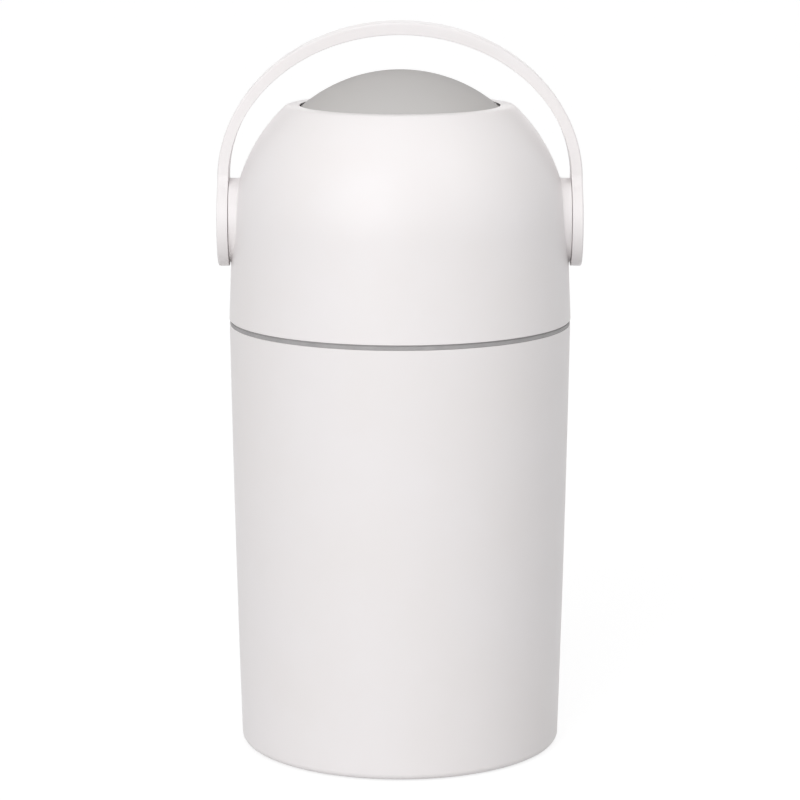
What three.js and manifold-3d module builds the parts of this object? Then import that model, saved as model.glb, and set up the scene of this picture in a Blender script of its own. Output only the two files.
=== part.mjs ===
// Nappy bin with a turning ball: a handle flips the pocket in the ball from the top to the bin.
// Millimetres, +Z up, origin on the floor under the middle of the bin, front along -Y.

import * as THREE from 'three';
import { mergeVertices } from 'three/addons/utils/BufferGeometryUtils.js';
import Module from 'manifold-3d';

const wasm = await Module();
wasm.setup();

// Main sizes
const binHeight = 342;
const binTaper = 8;
const ballRadius = 120;
const ballRoom = 10.2;
const shellWall = 2.6;
const domeDrop = 5.3;
const skirtFlare = 3.4;

// Clearances
const seatGap = 0.3;
const slideGap = 0.8;
const ballGap = 1.5;
const overrun = 1;

// Bin base and feet
const footLift = 1.5;
const footHeight = 6.2;
const footRadius = 10;
const footMargin = 3.5;
const baseFillet = 4.5;
const baseRimWidth = 9;
const floorThickness = 3;
const baseRibWidth = 2;
const baseRibHeight = 3;

// Bin neck and its bayonet
const shoulderStep = 0.2;
const edgeRound = 0.6;
const neckInset = 7.5;
const neckHeight = 32;
const neckWall = 2.5;
const neckBlend = 10;
const ledgeRise = 14;
const ledgeHeight = 4;
const ledgeClear = 1.8;
const lugHeight = 5;
const lugDrop = 1;
const lugHalfAngle = 7;
const entryMargin = 2;
const lockAngle = 20;
const stopAngle = 2.5;
const stopMargin = 1.5;

// Bag ring
const bagGap = 2.2;
const bagRingWall = 2.6;
const bagRingDepth = 36;
const bagFlangeHeight = 2.5;
const bagRibWidth = 2.4;
const bagRibClear = 0.7;

// Seal between bin and lid
const sealHeight = 3.4;
const sealSetback = 0.7;

// Lid opening and wiper seals
const openingMargin = 3.6;
const openingChamfer = 0.9;
const rimRound = 6;
const sealAngle = 5;
const sealLead = 2.3;
const sealCheek = 1.6;
const wiperGap = 0.9;
const wiperDepth = 3.6;
const grooveSlack = 0.35;

// Cradle under the ball
const cradleWall = 2.5;
const screwHeadClear = 0.9;
const flangeHeight = 2.6;
const dropMargin = 2;
const chuteHeight = 9;
const chuteWall = 2.6;

// Screws that hold the cradle
const postRadius = 4;
const postRise = 11;
const screwRadius = 1.5;
const screwHeadRadius = 3.2;
const screwHeadHeight = 2;
const screwCrownShare = 0.8;
const screwLength = 14;

// Bosses, bushes and axles
const bossRadius = 34.5;
const bossStand = 1.5;
const pivotRoom = 5.9;
const bossWall = 2.6;
const bossTubeWall = 3.6;
const bossRibWidth = 2;
const axleRadius = 10.5;
const axleHexStep = 1.5;
const axleHeadStep = 2.5;
const axleHeadHeight = 2.6;
const axleReach = 12.3;
const bushWall = 2.2;
const bushFlange = 2.6;
const bushFlangeHeight = 1.4;
const turnGap = 0.4;

// Handle
const hubLip = 0.7;
const hubGap = 0.9;
const handleThickness = 8.8;
const handleWidth = 30;
const handleStraight = 35;
const handRoom = 29.2;
const handleEdge = 1.4;
const flareRadius = 14;
const capMargin = 3;
const capHeight = 2;
const capDish = 0.6;
const capRoom = 1;
const hubScrewRadius = 2;
const hubScrewLap = 2;
const hubScrewHeadHeight = 1.6;
const hubScrewLength = 11;

// Ball and its pocket
const ballWall = 2.6;
const mouthRadius = 75;
const cupWall = 2.4;
const cupFlange = 4.4;
const cupSink = 1.5;
const cupBackRoom = 57;
const cupTaper = 9;
const cupCorner = 8;
const ballBossWall = 4;
const ballPostRadius = 6;
const ballPostInset = 14;
const ballPostAngle = 55;
const ballScrewSink = 24;

// How finely round forms are divided
const shellSides = 36;
const ringSides = 36;
const ballSides = 28;
const ballSteps = 8;
const ballInnerSteps = 4;
const domeSteps = 6;
const innerSteps = 3;
const roundSteps = 2;
const handleSteps = 11;
const flareSteps = 4;
const roundPinSides = 14;
const pinSides = 8;
const bossSides = 20;

// How often a feature repeats
const lugCount = 4;
const bagRibCount = 12;
const baseRibCount = 8;
const footCount = 4;
const cradleScrewCount = 6;
const bossRibCount = 4;
const hexSides = 6;

// Sizes that follow from the ones above
const domeRadius = ballRadius + ballRoom + shellWall;
const skirtRadius = domeRadius + skirtFlare;
const rimRadius = skirtRadius - shoulderStep;
const baseRadius = rimRadius - binTaper;
const neckRadius = rimRadius - neckInset;
const neckBore = neckRadius - neckWall;
const ledgeReach = neckInset + shoulderStep - shellWall - ledgeClear;
const baseRimOuter = baseRadius - baseFillet;
const baseRimInner = baseRimOuter - baseRimWidth;
const skirtFoot = seatGap + sealHeight + seatGap;
const lugRadius = neckRadius + slideGap;
const lugTop = ledgeRise - lugDrop;
const bagRingTop = neckHeight + seatGap + bagFlangeHeight;
const bagRingRadius = neckBore - bagGap;
const flangeFoot = bagRingTop + screwHeadClear + screwHeadHeight + seatGap;
const flangeTop = flangeFoot + flangeHeight;
const pivotRise = flangeTop + pivotRoom + bossRadius;
const shoulderLevel = -pivotRise;
const openingRadius = mouthRadius + openingMargin;
const dropRadius = mouthRadius + dropMargin;
const lipRadius = ballRadius + ballGap;
const wiperRadius = ballRadius + wiperGap;
const grooveRadius = wiperRadius + wiperDepth + grooveSlack;
const rimRise = Math.sqrt(lipRadius ** 2 - openingRadius ** 2);
const domeCentre = -domeDrop;
const axleHexRadius = axleRadius - axleHexStep;
const axleHeadRadius = axleRadius + axleHeadStep;
const bushRadius = axleRadius + turnGap + bushWall;
const bossFace = domeRadius + bossStand;
const hubInner = bossFace + hubGap;
const hubOuter = hubInner + handleThickness;
const hubRadius = bossRadius + hubLip;
const hubScrewHeadRadius = axleHexRadius + hubScrewLap;
const capRadius = hubScrewHeadRadius + capMargin;
const hubWeb = handleThickness - capHeight - hubScrewHeadHeight - capRoom;
const ballBore = ballRadius - ballWall;
const bossBack = ballRadius + seatGap + bushFlangeHeight + seatGap + seatGap;

const degrees = Math.PI / 180;

// Materials
const whiteShell = new THREE.MeshStandardMaterial({ color: 0xe9e6e3, roughness: 0.42, metalness: 0 });
const innerShell = new THREE.MeshStandardMaterial({ color: 0xd9d7d4, roughness: 0.5, metalness: 0 });
const greyBall = new THREE.MeshStandardMaterial({ color: 0xbdbab7, roughness: 0.38, metalness: 0 });
const greySeal = new THREE.MeshStandardMaterial({ color: 0xa9a7a5, roughness: 0.6, metalness: 0 });
const darkRubber = new THREE.MeshStandardMaterial({ color: 0x2b2b2c, roughness: 0.8, metalness: 0 });
const bushPlastic = new THREE.MeshStandardMaterial({ color: 0xd0cec9, roughness: 0.35, metalness: 0 });
const screwSteel = new THREE.MeshStandardMaterial({ color: 0x9a9b9e, roughness: 0.35, metalness: 1 });

// Turns a closed geometry into a solid that can be joined and cut.
function solid(geometry) {
  geometry.deleteAttribute('normal');
  geometry.deleteAttribute('uv');
  const welded = mergeVertices(geometry);
  const corners = welded.index.array;
  const triVerts = [];
  for (let i = 0; i < corners.length; i += 3) {
    const [a, b, c] = corners.slice(i, i + 3);
    if (a !== b && b !== c && c !== a) triVerts.push(a, b, c);
  }
  return new wasm.Manifold(new wasm.Mesh({
    numProp: 3,
    vertProperties: new Float32Array(welded.attributes.position.array),
    triVerts: new Uint32Array(triVerts),
  }));
}

function joined(first, others) {
  return others.reduce((whole, piece) => whole.add(piece), first);
}

function cutBy(first, tools) {
  return tools.reduce((whole, tool) => whole.subtract(tool), first);
}

// Makes the named mesh of one finished piece.
function piece(name, shape, material) {
  const { vertProperties, triVerts } = shape.getMesh();
  const geometry = new THREE.BufferGeometry();
  geometry.setAttribute('position', new THREE.BufferAttribute(vertProperties, 3));
  geometry.setIndex(new THREE.BufferAttribute(triVerts, 1));
  const flat = geometry.toNonIndexed();
  flat.computeVertexNormals();
  const mesh = new THREE.Mesh(flat, material);
  mesh.name = name;
  return mesh;
}

function at(r, h) {
  return new THREE.Vector2(r, h);
}

// Points of an arc in a profile, both ends included, angles in degrees from the radius direction.
function arc(centreR, centreH, radius, from, to, steps) {
  const points = [];
  for (let i = 0; i <= steps; i += 1) {
    const angle = (from + (to - from) * i / steps) * degrees;
    points.push(at(centreR + radius * Math.cos(angle), centreH + radius * Math.sin(angle)));
  }
  return points;
}

// Revolves a profile of radius and height about +Z; the outer side of the profile runs upwards.
function turnedZ(profile, sides) {
  const geometry = new THREE.LatheGeometry(profile, sides);
  geometry.rotateX(Math.PI / 2);
  return solid(geometry);
}

// Revolves about +Y.
function turnedY(profile, sides) {
  return solid(new THREE.LatheGeometry(profile, sides));
}

// Revolves about the X axis, with the profile's height running outwards on the given side.
function turnedX(profile, sides, side) {
  const geometry = new THREE.LatheGeometry(profile, sides);
  geometry.rotateZ(-side * Math.PI / 2);
  return solid(geometry);
}

// A closed loop of profile points.
function ring(points) {
  return [...points, points[0].clone()];
}

function rod(radius, low, high) {
  return [at(0, low), at(radius, low), at(radius, high), at(0, high)];
}

// A pan-head screw profile, head at the low end.
function screwProfile(headRadius, headHeight, radius, low, length) {
  const neck = low + headHeight;
  return [
    at(0, low), at(headRadius * screwCrownShare, low),
    at(headRadius, neck), at(radius, neck), at(radius, neck + length), at(0, neck + length),
  ];
}

// A curved block between two radii and two angles, from one height to another.
function sector(inner, outer, from, to, low, high, steps) {
  const shape = new THREE.Shape();
  shape.absarc(0, 0, outer, from * degrees, to * degrees, false);
  shape.absarc(0, 0, inner, to * degrees, from * degrees, true);
  const geometry = new THREE.ExtrudeGeometry(shape, {
    depth: high - low, bevelEnabled: false, curveSegments: steps,
  });
  geometry.translate(0, 0, low);
  return solid(geometry);
}

function block(width, depth, height, x, y, z) {
  const geometry = new THREE.BoxGeometry(width, depth, height);
  geometry.translate(x, y, z);
  return solid(geometry);
}

// A block that points outwards from the Z axis at an angle.
function spoke(length, width, height, middle, z, angle) {
  const geometry = new THREE.BoxGeometry(length, width, height);
  geometry.translate(middle, 0, z);
  geometry.rotateZ(angle * degrees);
  return solid(geometry);
}

function placed(shape, x, y, z) {
  return shape.translate([x, y, z]);
}

// The point on a circle round Z.
function around(radius, angle) {
  return [radius * Math.cos(angle * degrees), radius * Math.sin(angle * degrees)];
}

// Bin

function binRadiusAt(height) {
  return baseRadius + (rimRadius - baseRadius) * height / binHeight;
}

function binBody() {
  const underside = footHeight + seatGap;
  const floorTop = underside + floorThickness;
  const innerFloor = binRadiusAt(floorTop) - shellWall;
  const blendFoot = binHeight - neckBlend - shellWall;
  const profile = [
    at(0, underside),
    at(baseRimInner, underside),
    at(baseRimInner, footLift),
    ...arc(baseRimOuter, footLift + baseFillet, baseFillet, -90, 0, roundSteps + 1),
    ...arc(rimRadius - edgeRound, binHeight - edgeRound, edgeRound, 0, 90, 2),
    at(neckRadius, binHeight),
    at(neckRadius, binHeight + neckHeight),
    at(neckBore, binHeight + neckHeight),
    at(neckBore, binHeight - shellWall),
    at(binRadiusAt(blendFoot) - shellWall, blendFoot),
    ...arc(innerFloor - baseFillet, floorTop + baseFillet, baseFillet, 0, -90, roundSteps),
    at(0, floorTop),
  ];
  const body = turnedZ(profile, shellSides);
  return joined(body, [...bayonetLedges(), ...baseRibs(underside)]);
}

// The ledges that the lid's lugs turn under, each with a stop at its far end.
function bayonetLedges() {
  const ledges = [];
  const near = lugHalfAngle + entryMargin;
  const stop = lugHalfAngle + lockAngle + stopMargin;
  const far = stop + stopAngle;
  const inner = neckRadius - neckWall / 2;
  const outer = neckRadius + ledgeReach;
  for (let i = 0; i < lugCount; i += 1) {
    const entry = lugAngle(i);
    const top = binHeight + ledgeRise + ledgeHeight;
    ledges.push(sector(inner, outer, entry - far, entry - near, top - ledgeHeight, top, 5));
    const foot = binHeight + ledgeRise - lugDrop - lugHeight;
    ledges.push(sector(inner, outer, entry - far, entry - stop, foot, top - ledgeHeight / 2, 2));
  }
  return ledges;
}

function lugAngle(index) {
  return 360 * (index + 0.5) / lugCount;
}

// Stiffening ribs under the floor, between the feet.
function baseRibs(underside) {
  const ribs = [];
  const start = footRadius;
  const length = baseRimInner + overrun - start;
  for (let i = 0; i < baseRibCount; i += 1) {
    const angle = 360 * (i + 0.5) / baseRibCount;
    const middle = start + length / 2;
    const z = underside + overrun / 2 - baseRibHeight / 2;
    ribs.push(spoke(length, baseRibWidth, baseRibHeight + overrun, middle, z, angle));
  }
  const hub = rod(footRadius + baseRibWidth, underside - baseRibHeight, underside + overrun);
  ribs.push(turnedZ(hub, roundPinSides));
  return ribs;
}

function feet() {
  const profile = [
    at(0, 0), at(footRadius - edgeRound, 0), at(footRadius, edgeRound),
    at(footRadius, footHeight), at(0, footHeight),
  ];
  const meshes = [];
  for (let i = 0; i < footCount; i += 1) {
    const circle = baseRimInner - footMargin - footRadius;
    const [x, y] = around(circle, 360 * (i + 0.5) / footCount);
    meshes.push(piece(`foot_${i + 1}`, placed(turnedZ(profile, roundPinSides), x, y, 0), darkRubber));
  }
  return meshes;
}

// Bag ring, measured from the bin's shoulder

function bagRing() {
  const flangeFootHere = neckHeight + seatGap;
  const inner = bagRingRadius - bagRingWall;
  const collarFoot = bagRingTop - bagRingDepth;
  const profile = ring([
    at(inner + edgeRound, collarFoot),
    at(bagRingRadius - edgeRound, collarFoot),
    at(bagRingRadius, collarFoot + edgeRound),
    at(bagRingRadius, flangeFootHere),
    at(neckRadius, flangeFootHere),
    at(neckRadius, bagRingTop - edgeRound),
    at(neckRadius - edgeRound, bagRingTop),
    at(inner, bagRingTop),
  ]);
  const ribs = [];
  const ribFoot = collarFoot + bagFlangeHeight;
  for (let i = 0; i < bagRibCount; i += 1) {
    const outer = neckBore - bagRibClear;
    const length = outer - bagRingRadius + bagRingWall / 2;
    const middle = outer - length / 2;
    const height = flangeFootHere + overrun - ribFoot;
    const angle = 360 * (i + 0.5) / bagRibCount;
    ribs.push(spoke(length, bagRibWidth, height, middle, ribFoot + height / 2, angle));
  }
  return joined(turnedZ(profile, ringSides), ribs);
}

// Seal ring that shows as the grey line between bin and lid

function lidSeal() {
  const inner = neckRadius + ledgeReach + slideGap;
  const outer = rimRadius - sealSetback;
  const low = seatGap;
  const high = seatGap + sealHeight;
  const profile = ring([
    at(inner, low),
    at(outer - edgeRound, low),
    at(outer, low + edgeRound),
    at(outer, high - edgeRound),
    at(outer - edgeRound, high),
    at(inner, high),
  ]);
  return turnedZ(profile, ringSides);
}

// Lid, measured from the pivot unless a height says otherwise

// Where the skirt's straight side meets the dome without a crease.
function skirtTangent() {
  const foot = shoulderLevel + skirtFoot;
  const rise = domeCentre - foot;
  const reach = Math.hypot(skirtRadius, rise);
  const lean = Math.acos(domeRadius / reach) - Math.atan2(rise, skirtRadius);
  return { foot, lean: lean / degrees };
}

// The groove that a wiper seal sits in, as angles up from the horizontal.
function grooveAngles(edgeRadius) {
  const edge = Math.acos(edgeRadius / lipRadius) / degrees;
  const high = edge - sealLead;
  return { edge, high, low: high - sealAngle, end: high - sealAngle - sealCheek };
}

function polar(radius, angle) {
  return at(radius * Math.cos(angle * degrees), radius * Math.sin(angle * degrees));
}

function lidShell() {
  const { foot, lean } = skirtTangent();
  const roundHeight = rimRise - rimRound - domeCentre;
  const roundRadius = Math.sqrt((domeRadius - rimRound) ** 2 - roundHeight ** 2);
  const roundAngle = Math.atan2(roundHeight, roundRadius) / degrees;
  const groove = grooveAngles(openingRadius);
  const innerDome = domeRadius - shellWall;
  const lipEnd = polar(lipRadius, groove.end);
  const innerTop = Math.asin((lipEnd.y + wiperDepth - domeCentre) / innerDome) / degrees;
  const profile = ring([
    at(skirtRadius - shellWall, foot),
    at(skirtRadius - edgeRound, foot),
    at(skirtRadius, foot + edgeRound),
    ...arc(0, domeCentre, domeRadius, lean, roundAngle, domeSteps),
    ...arc(roundRadius, rimRise - rimRound, rimRound, roundAngle, 90, roundSteps).slice(1),
    at(openingRadius + openingChamfer, rimRise),
    at(openingRadius, rimRise - openingChamfer / 2),
    polar(lipRadius, groove.high),
    polar(grooveRadius, groove.high),
    polar(grooveRadius, groove.low),
    polar(lipRadius, groove.low),
    lipEnd,
    ...arc(0, domeCentre, innerDome, innerTop, lean, innerSteps),
  ]);
  return turnedZ(profile, shellSides);
}

function lidHousing() {
  let shell = lidShell();
  for (const side of [1, -1]) shell = withBoss(shell, side);
  const lugs = [];
  for (let i = 0; i < lugCount; i += 1) {
    const top = shoulderLevel + lugTop;
    const from = lugAngle(i) - lugHalfAngle;
    const to = lugAngle(i) + lugHalfAngle;
    const outer = skirtRadius - shellWall / 2 - edgeRound;
    lugs.push(sector(lugRadius, outer, from, to, top - lugHeight, top, 4));
  }
  const posts = [];
  const holes = [];
  for (let i = 0; i < cradleScrewCount; i += 1) {
    const [x, y] = around(postCircle(), postAngle(i));
    const low = shoulderLevel + flangeTop + seatGap;
    const post = rod(postRadius, low, domeCentre + postRise);
    const hole = rod(screwRadius + seatGap, low - overrun, low + screwLength);
    posts.push(placed(turnedZ(post, pinSides), x, y, 0));
    holes.push(placed(turnedZ(hole, pinSides), x, y, 0));
  }
  return cutBy(joined(shell, [...lugs, ...posts]), holes);
}

function postCircle() {
  return domeRadius - shellWall / 2 - postRadius;
}

function postAngle(index) {
  return 360 * (index + 0.5) / cradleScrewCount;
}

// Opens the shell for one side boss and adds its wall, bush tube and ribs.
function withBoss(shell, side) {
  const wallFoot = Math.sqrt(domeRadius ** 2 - bossRadius ** 2) - domeDrop - shellWall;
  const inside = bossFace - bossWall;
  const core = bossRadius - bossWall;
  const tubeRadius = bushRadius + seatGap + bossTubeWall;
  const drum = turnedX([
    at(0, wallFoot), at(bossRadius, wallFoot), at(bossRadius, bossFace - edgeRound),
    at(bossRadius - edgeRound, bossFace), at(0, bossFace),
  ], bossSides, side);
  const pocket = turnedX(rod(core, 0, inside), bossSides, side);
  const tubePart = turnedX(rod(tubeRadius, bossBack, inside + overrun), roundPinSides, side);
  const ribs = [];
  for (let i = 0; i < bossRibCount; i += 1) {
    const length = core + overrun;
    const ribFoot = bossBack + bossWall;
    const width = inside + overrun - ribFoot;
    const geometry = new THREE.BoxGeometry(width, bossRibWidth, length);
    geometry.translate(side * (ribFoot + width / 2), 0, length / 2);
    geometry.rotateX(2 * Math.PI * (i + 0.5) / bossRibCount);
    ribs.push(solid(geometry));
  }
  const hole = rod(bushRadius + seatGap, bossBack - overrun, bossFace + overrun);
  const open = shell.add(drum).subtract(pocket);
  return joined(open, [tubePart, ...ribs]).subtract(turnedX(hole, roundPinSides, side));
}

// A wiper seal above or below the ball, its lip bevelled towards the ball.
function wiperSeal(edgeRadius, up) {
  const groove = grooveAngles(edgeRadius);
  const slack = grooveSlack / grooveRadius / degrees;
  const high = groove.high - slack;
  const low = groove.low + slack;
  const middle = (high + low) / 2;
  const back = grooveRadius - grooveSlack;
  const points = [
    polar(back, low), polar(back, high), polar(lipRadius, high),
    polar(wiperRadius, middle), polar(lipRadius, low),
  ];
  return turnedZ(ring(flipped(points, up)), ringSides);
}

// Mirrors profile points in the horizontal plane for the lower side, keeping their turning sense.
function flipped(points, up) {
  if (up > 0) return points;
  return points.map((point) => at(point.x, -point.y)).reverse();
}

// The cradle: a bowl round the lower half of the ball, with a flange, a wiper groove and a chute.
function lidCradle() {
  const flangeLow = shoulderLevel + flangeFoot;
  const flangeHigh = shoulderLevel + flangeTop;
  const { foot } = skirtTangent();
  const lean = (skirtRadius - domeRadius) / (domeCentre - foot);
  const flangeRadius = skirtRadius - lean * (flangeHigh - foot) - shellWall - slideGap;
  const bowlOuter = lipRadius + cradleWall;
  const groove = grooveAngles(dropRadius);
  const thick = grooveRadius + cradleWall;
  const topInner = Math.asin(flangeHigh / lipRadius) / degrees;
  const topOuter = Math.asin(flangeLow / bowlOuter) / degrees;
  const edgeHeight = -Math.sqrt(lipRadius ** 2 - dropRadius ** 2);
  const chuteFoot = edgeHeight - chuteHeight;
  const shoulder = -groove.end;
  const profile = ring([
    at(dropRadius, chuteFoot),
    at(dropRadius + chuteWall, chuteFoot),
    at(dropRadius + chuteWall, edgeHeight - chuteWall),
    polar(thick, -groove.high),
    polar(thick, shoulder),
    ...arc(0, 0, bowlOuter, shoulder + sealCheek, topOuter, innerSteps),
    at(flangeRadius, flangeLow),
    at(flangeRadius, flangeHigh),
    ...arc(0, 0, lipRadius, topInner, -groove.low, innerSteps),
    polar(grooveRadius, -groove.low),
    polar(grooveRadius, -groove.high),
    polar(lipRadius, -groove.high),
    at(dropRadius, edgeHeight),
  ]);
  const holes = [];
  for (let i = 0; i < cradleScrewCount; i += 1) {
    const [x, y] = around(postCircle(), postAngle(i));
    const low = flangeLow - overrun;
    const high = flangeHigh + overrun;
    holes.push(placed(turnedZ(rod(screwRadius + seatGap, low, high), pinSides), x, y, 0));
  }
  return cutBy(turnedZ(profile, ringSides), holes);
}

function cradleScrews() {
  const meshes = [];
  const low = shoulderLevel + flangeFoot - seatGap - screwHeadHeight;
  const profile = screwProfile(screwHeadRadius, screwHeadHeight, screwRadius, low, screwLength);
  for (let i = 0; i < cradleScrewCount; i += 1) {
    const [x, y] = around(postCircle(), postAngle(i));
    meshes.push(piece(`cradle_screw_${i + 1}`, placed(turnedZ(profile, pinSides), x, y, 0), screwSteel));
  }
  return meshes;
}

function axleBush(side) {
  const low = ballRadius + seatGap;
  const neck = low + bushFlangeHeight;
  const bore = axleRadius + turnGap;
  const flange = bushRadius + bushFlange;
  const profile = ring([
    at(bore, low), at(flange, low), at(flange, neck),
    at(bushRadius, neck), at(bushRadius, bossFace - seatGap), at(bore, bossFace - seatGap),
  ]);
  return turnedX(profile, roundPinSides, side);
}

// Handle and ball, measured from the pivot

function hexagon(radius, low, high, side) {
  return turnedX(rod(radius, low, high), hexSides, side);
}

function axle(side) {
  const head = ballRadius - axleReach;
  const journal = ballRadius + seatGap;
  const hub = hubInner - hubGap / 2;
  const end = hubInner + hubWeb - seatGap;
  const parts = [
    turnedX(rod(axleRadius, journal, hub), roundPinSides, side),
    hexagon(axleHexRadius, hub - overrun, end, side),
    turnedX(rod(axleHeadRadius, head - axleHeadHeight, head), roundPinSides, side),
  ];
  const hole = turnedX(rod(hubScrewRadius + seatGap, end - hubScrewLength, end + overrun), pinSides, side);
  return joined(hexagon(axleHexRadius, head - overrun, journal + overrun, side), parts).subtract(hole);
}

// The arch and its two straight arms, seen from the front.
function handleArch() {
  const outer = hubOuter;
  const inner = hubInner;
  const innerRise = ballRadius + handRoom - handleStraight;
  const outerRise = innerRise + handleThickness;
  const half = handleWidth / 2;
  const shape = new THREE.Shape();
  shape.moveTo(outer, 0);
  shape.lineTo(outer, handleStraight);
  shape.absellipse(0, handleStraight, outer, outerRise, 0, Math.PI, false);
  shape.lineTo(-outer, 0);
  shape.lineTo(-inner, 0);
  shape.lineTo(-inner, handleStraight);
  shape.absellipse(0, handleStraight, inner, innerRise, Math.PI, 0, true);
  shape.lineTo(inner, 0);
  const geometry = new THREE.ExtrudeGeometry(shape, {
    depth: handleWidth - 2 * handleEdge,
    bevelThickness: handleEdge,
    bevelSize: handleEdge,
    bevelOffset: -handleEdge,
    bevelSegments: 1,
    curveSegments: handleSteps,
  });
  geometry.translate(0, 0, handleEdge - half);
  geometry.rotateX(Math.PI / 2);
  return solid(geometry);
}

// The curved web that widens an arm into its hub.
function handleFlare(side) {
  const half = handleWidth / 2;
  const centreY = half + flareRadius;
  const centreZ = Math.sqrt((hubRadius + flareRadius) ** 2 - centreY ** 2);
  const sweep = Math.atan2(centreZ, centreY);
  const shape = new THREE.Shape();
  shape.moveTo(-half + handleEdge, centreZ);
  shape.absarc(-centreY, centreZ, flareRadius, 0, -sweep, true);
  const shareOfHub = hubRadius / (hubRadius + flareRadius);
  shape.lineTo(-centreY * shareOfHub, 0);
  shape.lineTo(centreY * shareOfHub, 0);
  shape.absarc(centreY, centreZ, flareRadius, sweep - Math.PI, -Math.PI, true);
  shape.lineTo(half - handleEdge, centreZ);
  const geometry = new THREE.ExtrudeGeometry(shape, {
    depth: handleThickness - 2 * handleEdge, bevelEnabled: false, curveSegments: flareSteps,
  });
  geometry.rotateX(Math.PI / 2);
  geometry.rotateZ(Math.PI / 2);
  geometry.translate(side > 0 ? hubInner + handleEdge : -hubOuter + handleEdge, 0, 0);
  return solid(geometry);
}

function hub(side) {
  const profile = [
    at(0, hubInner),
    at(hubRadius - edgeRound, hubInner),
    at(hubRadius, hubInner + edgeRound),
    ...arc(hubRadius - handleEdge, hubOuter - handleEdge, handleEdge, 0, 90, 2),
    at(0, hubOuter),
  ];
  return turnedX(profile, bossSides, side);
}

function handle() {
  const parts = [];
  const holes = [];
  for (const side of [1, -1]) {
    parts.push(hub(side), handleFlare(side));
    holes.push(hexagon(axleHexRadius + seatGap, hubInner - overrun, hubOuter, side));
    holes.push(turnedX(rod(capRadius, hubInner + hubWeb, hubOuter + overrun), bossSides, side));
  }
  return cutBy(joined(handleArch(), parts), holes);
}

function handleScrew(side) {
  const seat = hubInner + hubWeb + seatGap;
  const profile = [
    at(0, seat - hubScrewLength + overrun), at(hubScrewRadius, seat - hubScrewLength + overrun),
    at(hubScrewRadius, seat), at(hubScrewHeadRadius, seat),
    at(hubScrewHeadRadius * screwCrownShare, seat + hubScrewHeadHeight), at(0, seat + hubScrewHeadHeight),
  ];
  return turnedX(profile, roundPinSides, side);
}

function handleCap(side) {
  const radius = capRadius - seatGap;
  const profile = [
    at(0, hubOuter - capHeight),
    at(radius, hubOuter - capHeight),
    at(radius, hubOuter - edgeRound),
    at(radius - edgeRound, hubOuter),
    at(radius / 2, hubOuter - capDish),
    at(0, hubOuter - capDish),
  ];
  return turnedX(profile, bossSides, side);
}

// How far from the pivot the flat land lies that the pocket's flange seats on.
function mouthSeat() {
  return Math.sqrt(ballBore ** 2 - (mouthRadius + cupFlange + seatGap) ** 2);
}

// One half of the ball, parted on the plane through the axle; front is -1 and the mouth side is +1.
function ballHalf(front, openRadius) {
  const gap = seatGap / 2;
  const outerFoot = Math.asin(gap / ballRadius) / degrees;
  const innerFoot = Math.asin(gap / ballBore) / degrees;
  const open = openRadius > 0;
  const outerEnd = open ? Math.acos(openRadius / ballRadius) / degrees : 90;
  const seat = mouthSeat();
  const innerEnd = open ? Math.asin(seat / ballBore) / degrees : 90;
  const points = [
    ...arc(0, 0, ballRadius, outerFoot, outerEnd, ballSteps),
    ...(open ? [at(openRadius, seat)] : []),
    ...arc(0, 0, ballBore, innerEnd, innerFoot, ballInnerSteps),
  ];
  const shell = turnedY(flipped(ring(points), front), ballSides);
  const inside = turnedY(arc(0, 0, ballBore + ballWall / 2, -90, 90, 2 * ballSteps), ballSides);
  const keep = block(2 * ballRadius, ballRadius, 2 * ballRadius, 0, front * (gap + ballRadius / 2), 0);
  const bossFoot = ballRadius - axleReach - 2 * axleHeadHeight;
  const boss = rod(axleHeadRadius + ballBossWall, bossFoot, ballRadius);
  const bosses = [1, -1].map((side) => turnedX(boss, roundPinSides, side));
  const posts = ballPostPlaces().map(([x, z]) => ballPost(x, z, ballPostRadius, 0, front * ballRadius));
  const fittings = joined(bosses[0], [bosses[1], ...posts]).intersect(inside).intersect(keep);
  return cutBy(shell.add(fittings), [...axleCavities(), ...ballScrewHoles()]);
}

function ballPostPlaces() {
  const places = [];
  const radius = ballRadius - ballPostInset;
  for (const sideX of [1, -1]) {
    for (const sideZ of [1, -1]) {
      const x = sideX * radius * Math.sin(ballPostAngle * degrees);
      const z = sideZ * radius * Math.cos(ballPostAngle * degrees);
      places.push([x, z]);
    }
  }
  return places;
}

// A rod along Y between two distances from the parting plane.
function ballPost(x, z, radius, from, to) {
  const profile = rod(radius, Math.min(from, to), Math.max(from, to));
  return placed(turnedY(profile, pinSides), x, 0, z);
}

function axleCavities() {
  const head = ballRadius - axleReach;
  const headRoom = rod(axleHeadRadius + seatGap, head - axleHeadHeight - seatGap, head + seatGap);
  return [1, -1].flatMap((side) => [
    hexagon(axleHexRadius + seatGap, head - overrun, ballRadius + overrun, side),
    turnedX(headRoom, roundPinSides, side),
  ]);
}

function ballScrewHoles() {
  return ballPostPlaces().flatMap(([x, z]) => [
    ballPost(x, z, screwRadius + seatGap, -ballScrewSink, ballRadius),
    ballPost(x, z, screwHeadRadius + seatGap, ballScrewSink, ballRadius),
  ]);
}

function ballScrews() {
  return ballPostPlaces().map(([x, z], index) => {
    const top = ballScrewSink + seatGap + screwHeadHeight;
    const length = ballScrewSink + screwLength;
    const profile = [
      at(0, top - screwHeadHeight - length), at(screwRadius, top - screwHeadHeight - length),
      at(screwRadius, top - screwHeadHeight), at(screwHeadRadius, top - screwHeadHeight),
      at(screwHeadRadius, top), at(0, top),
    ];
    return piece(`ball_screw_${index + 1}`, placed(turnedY(profile, pinSides), x, 0, z), screwSteel);
  });
}

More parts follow.
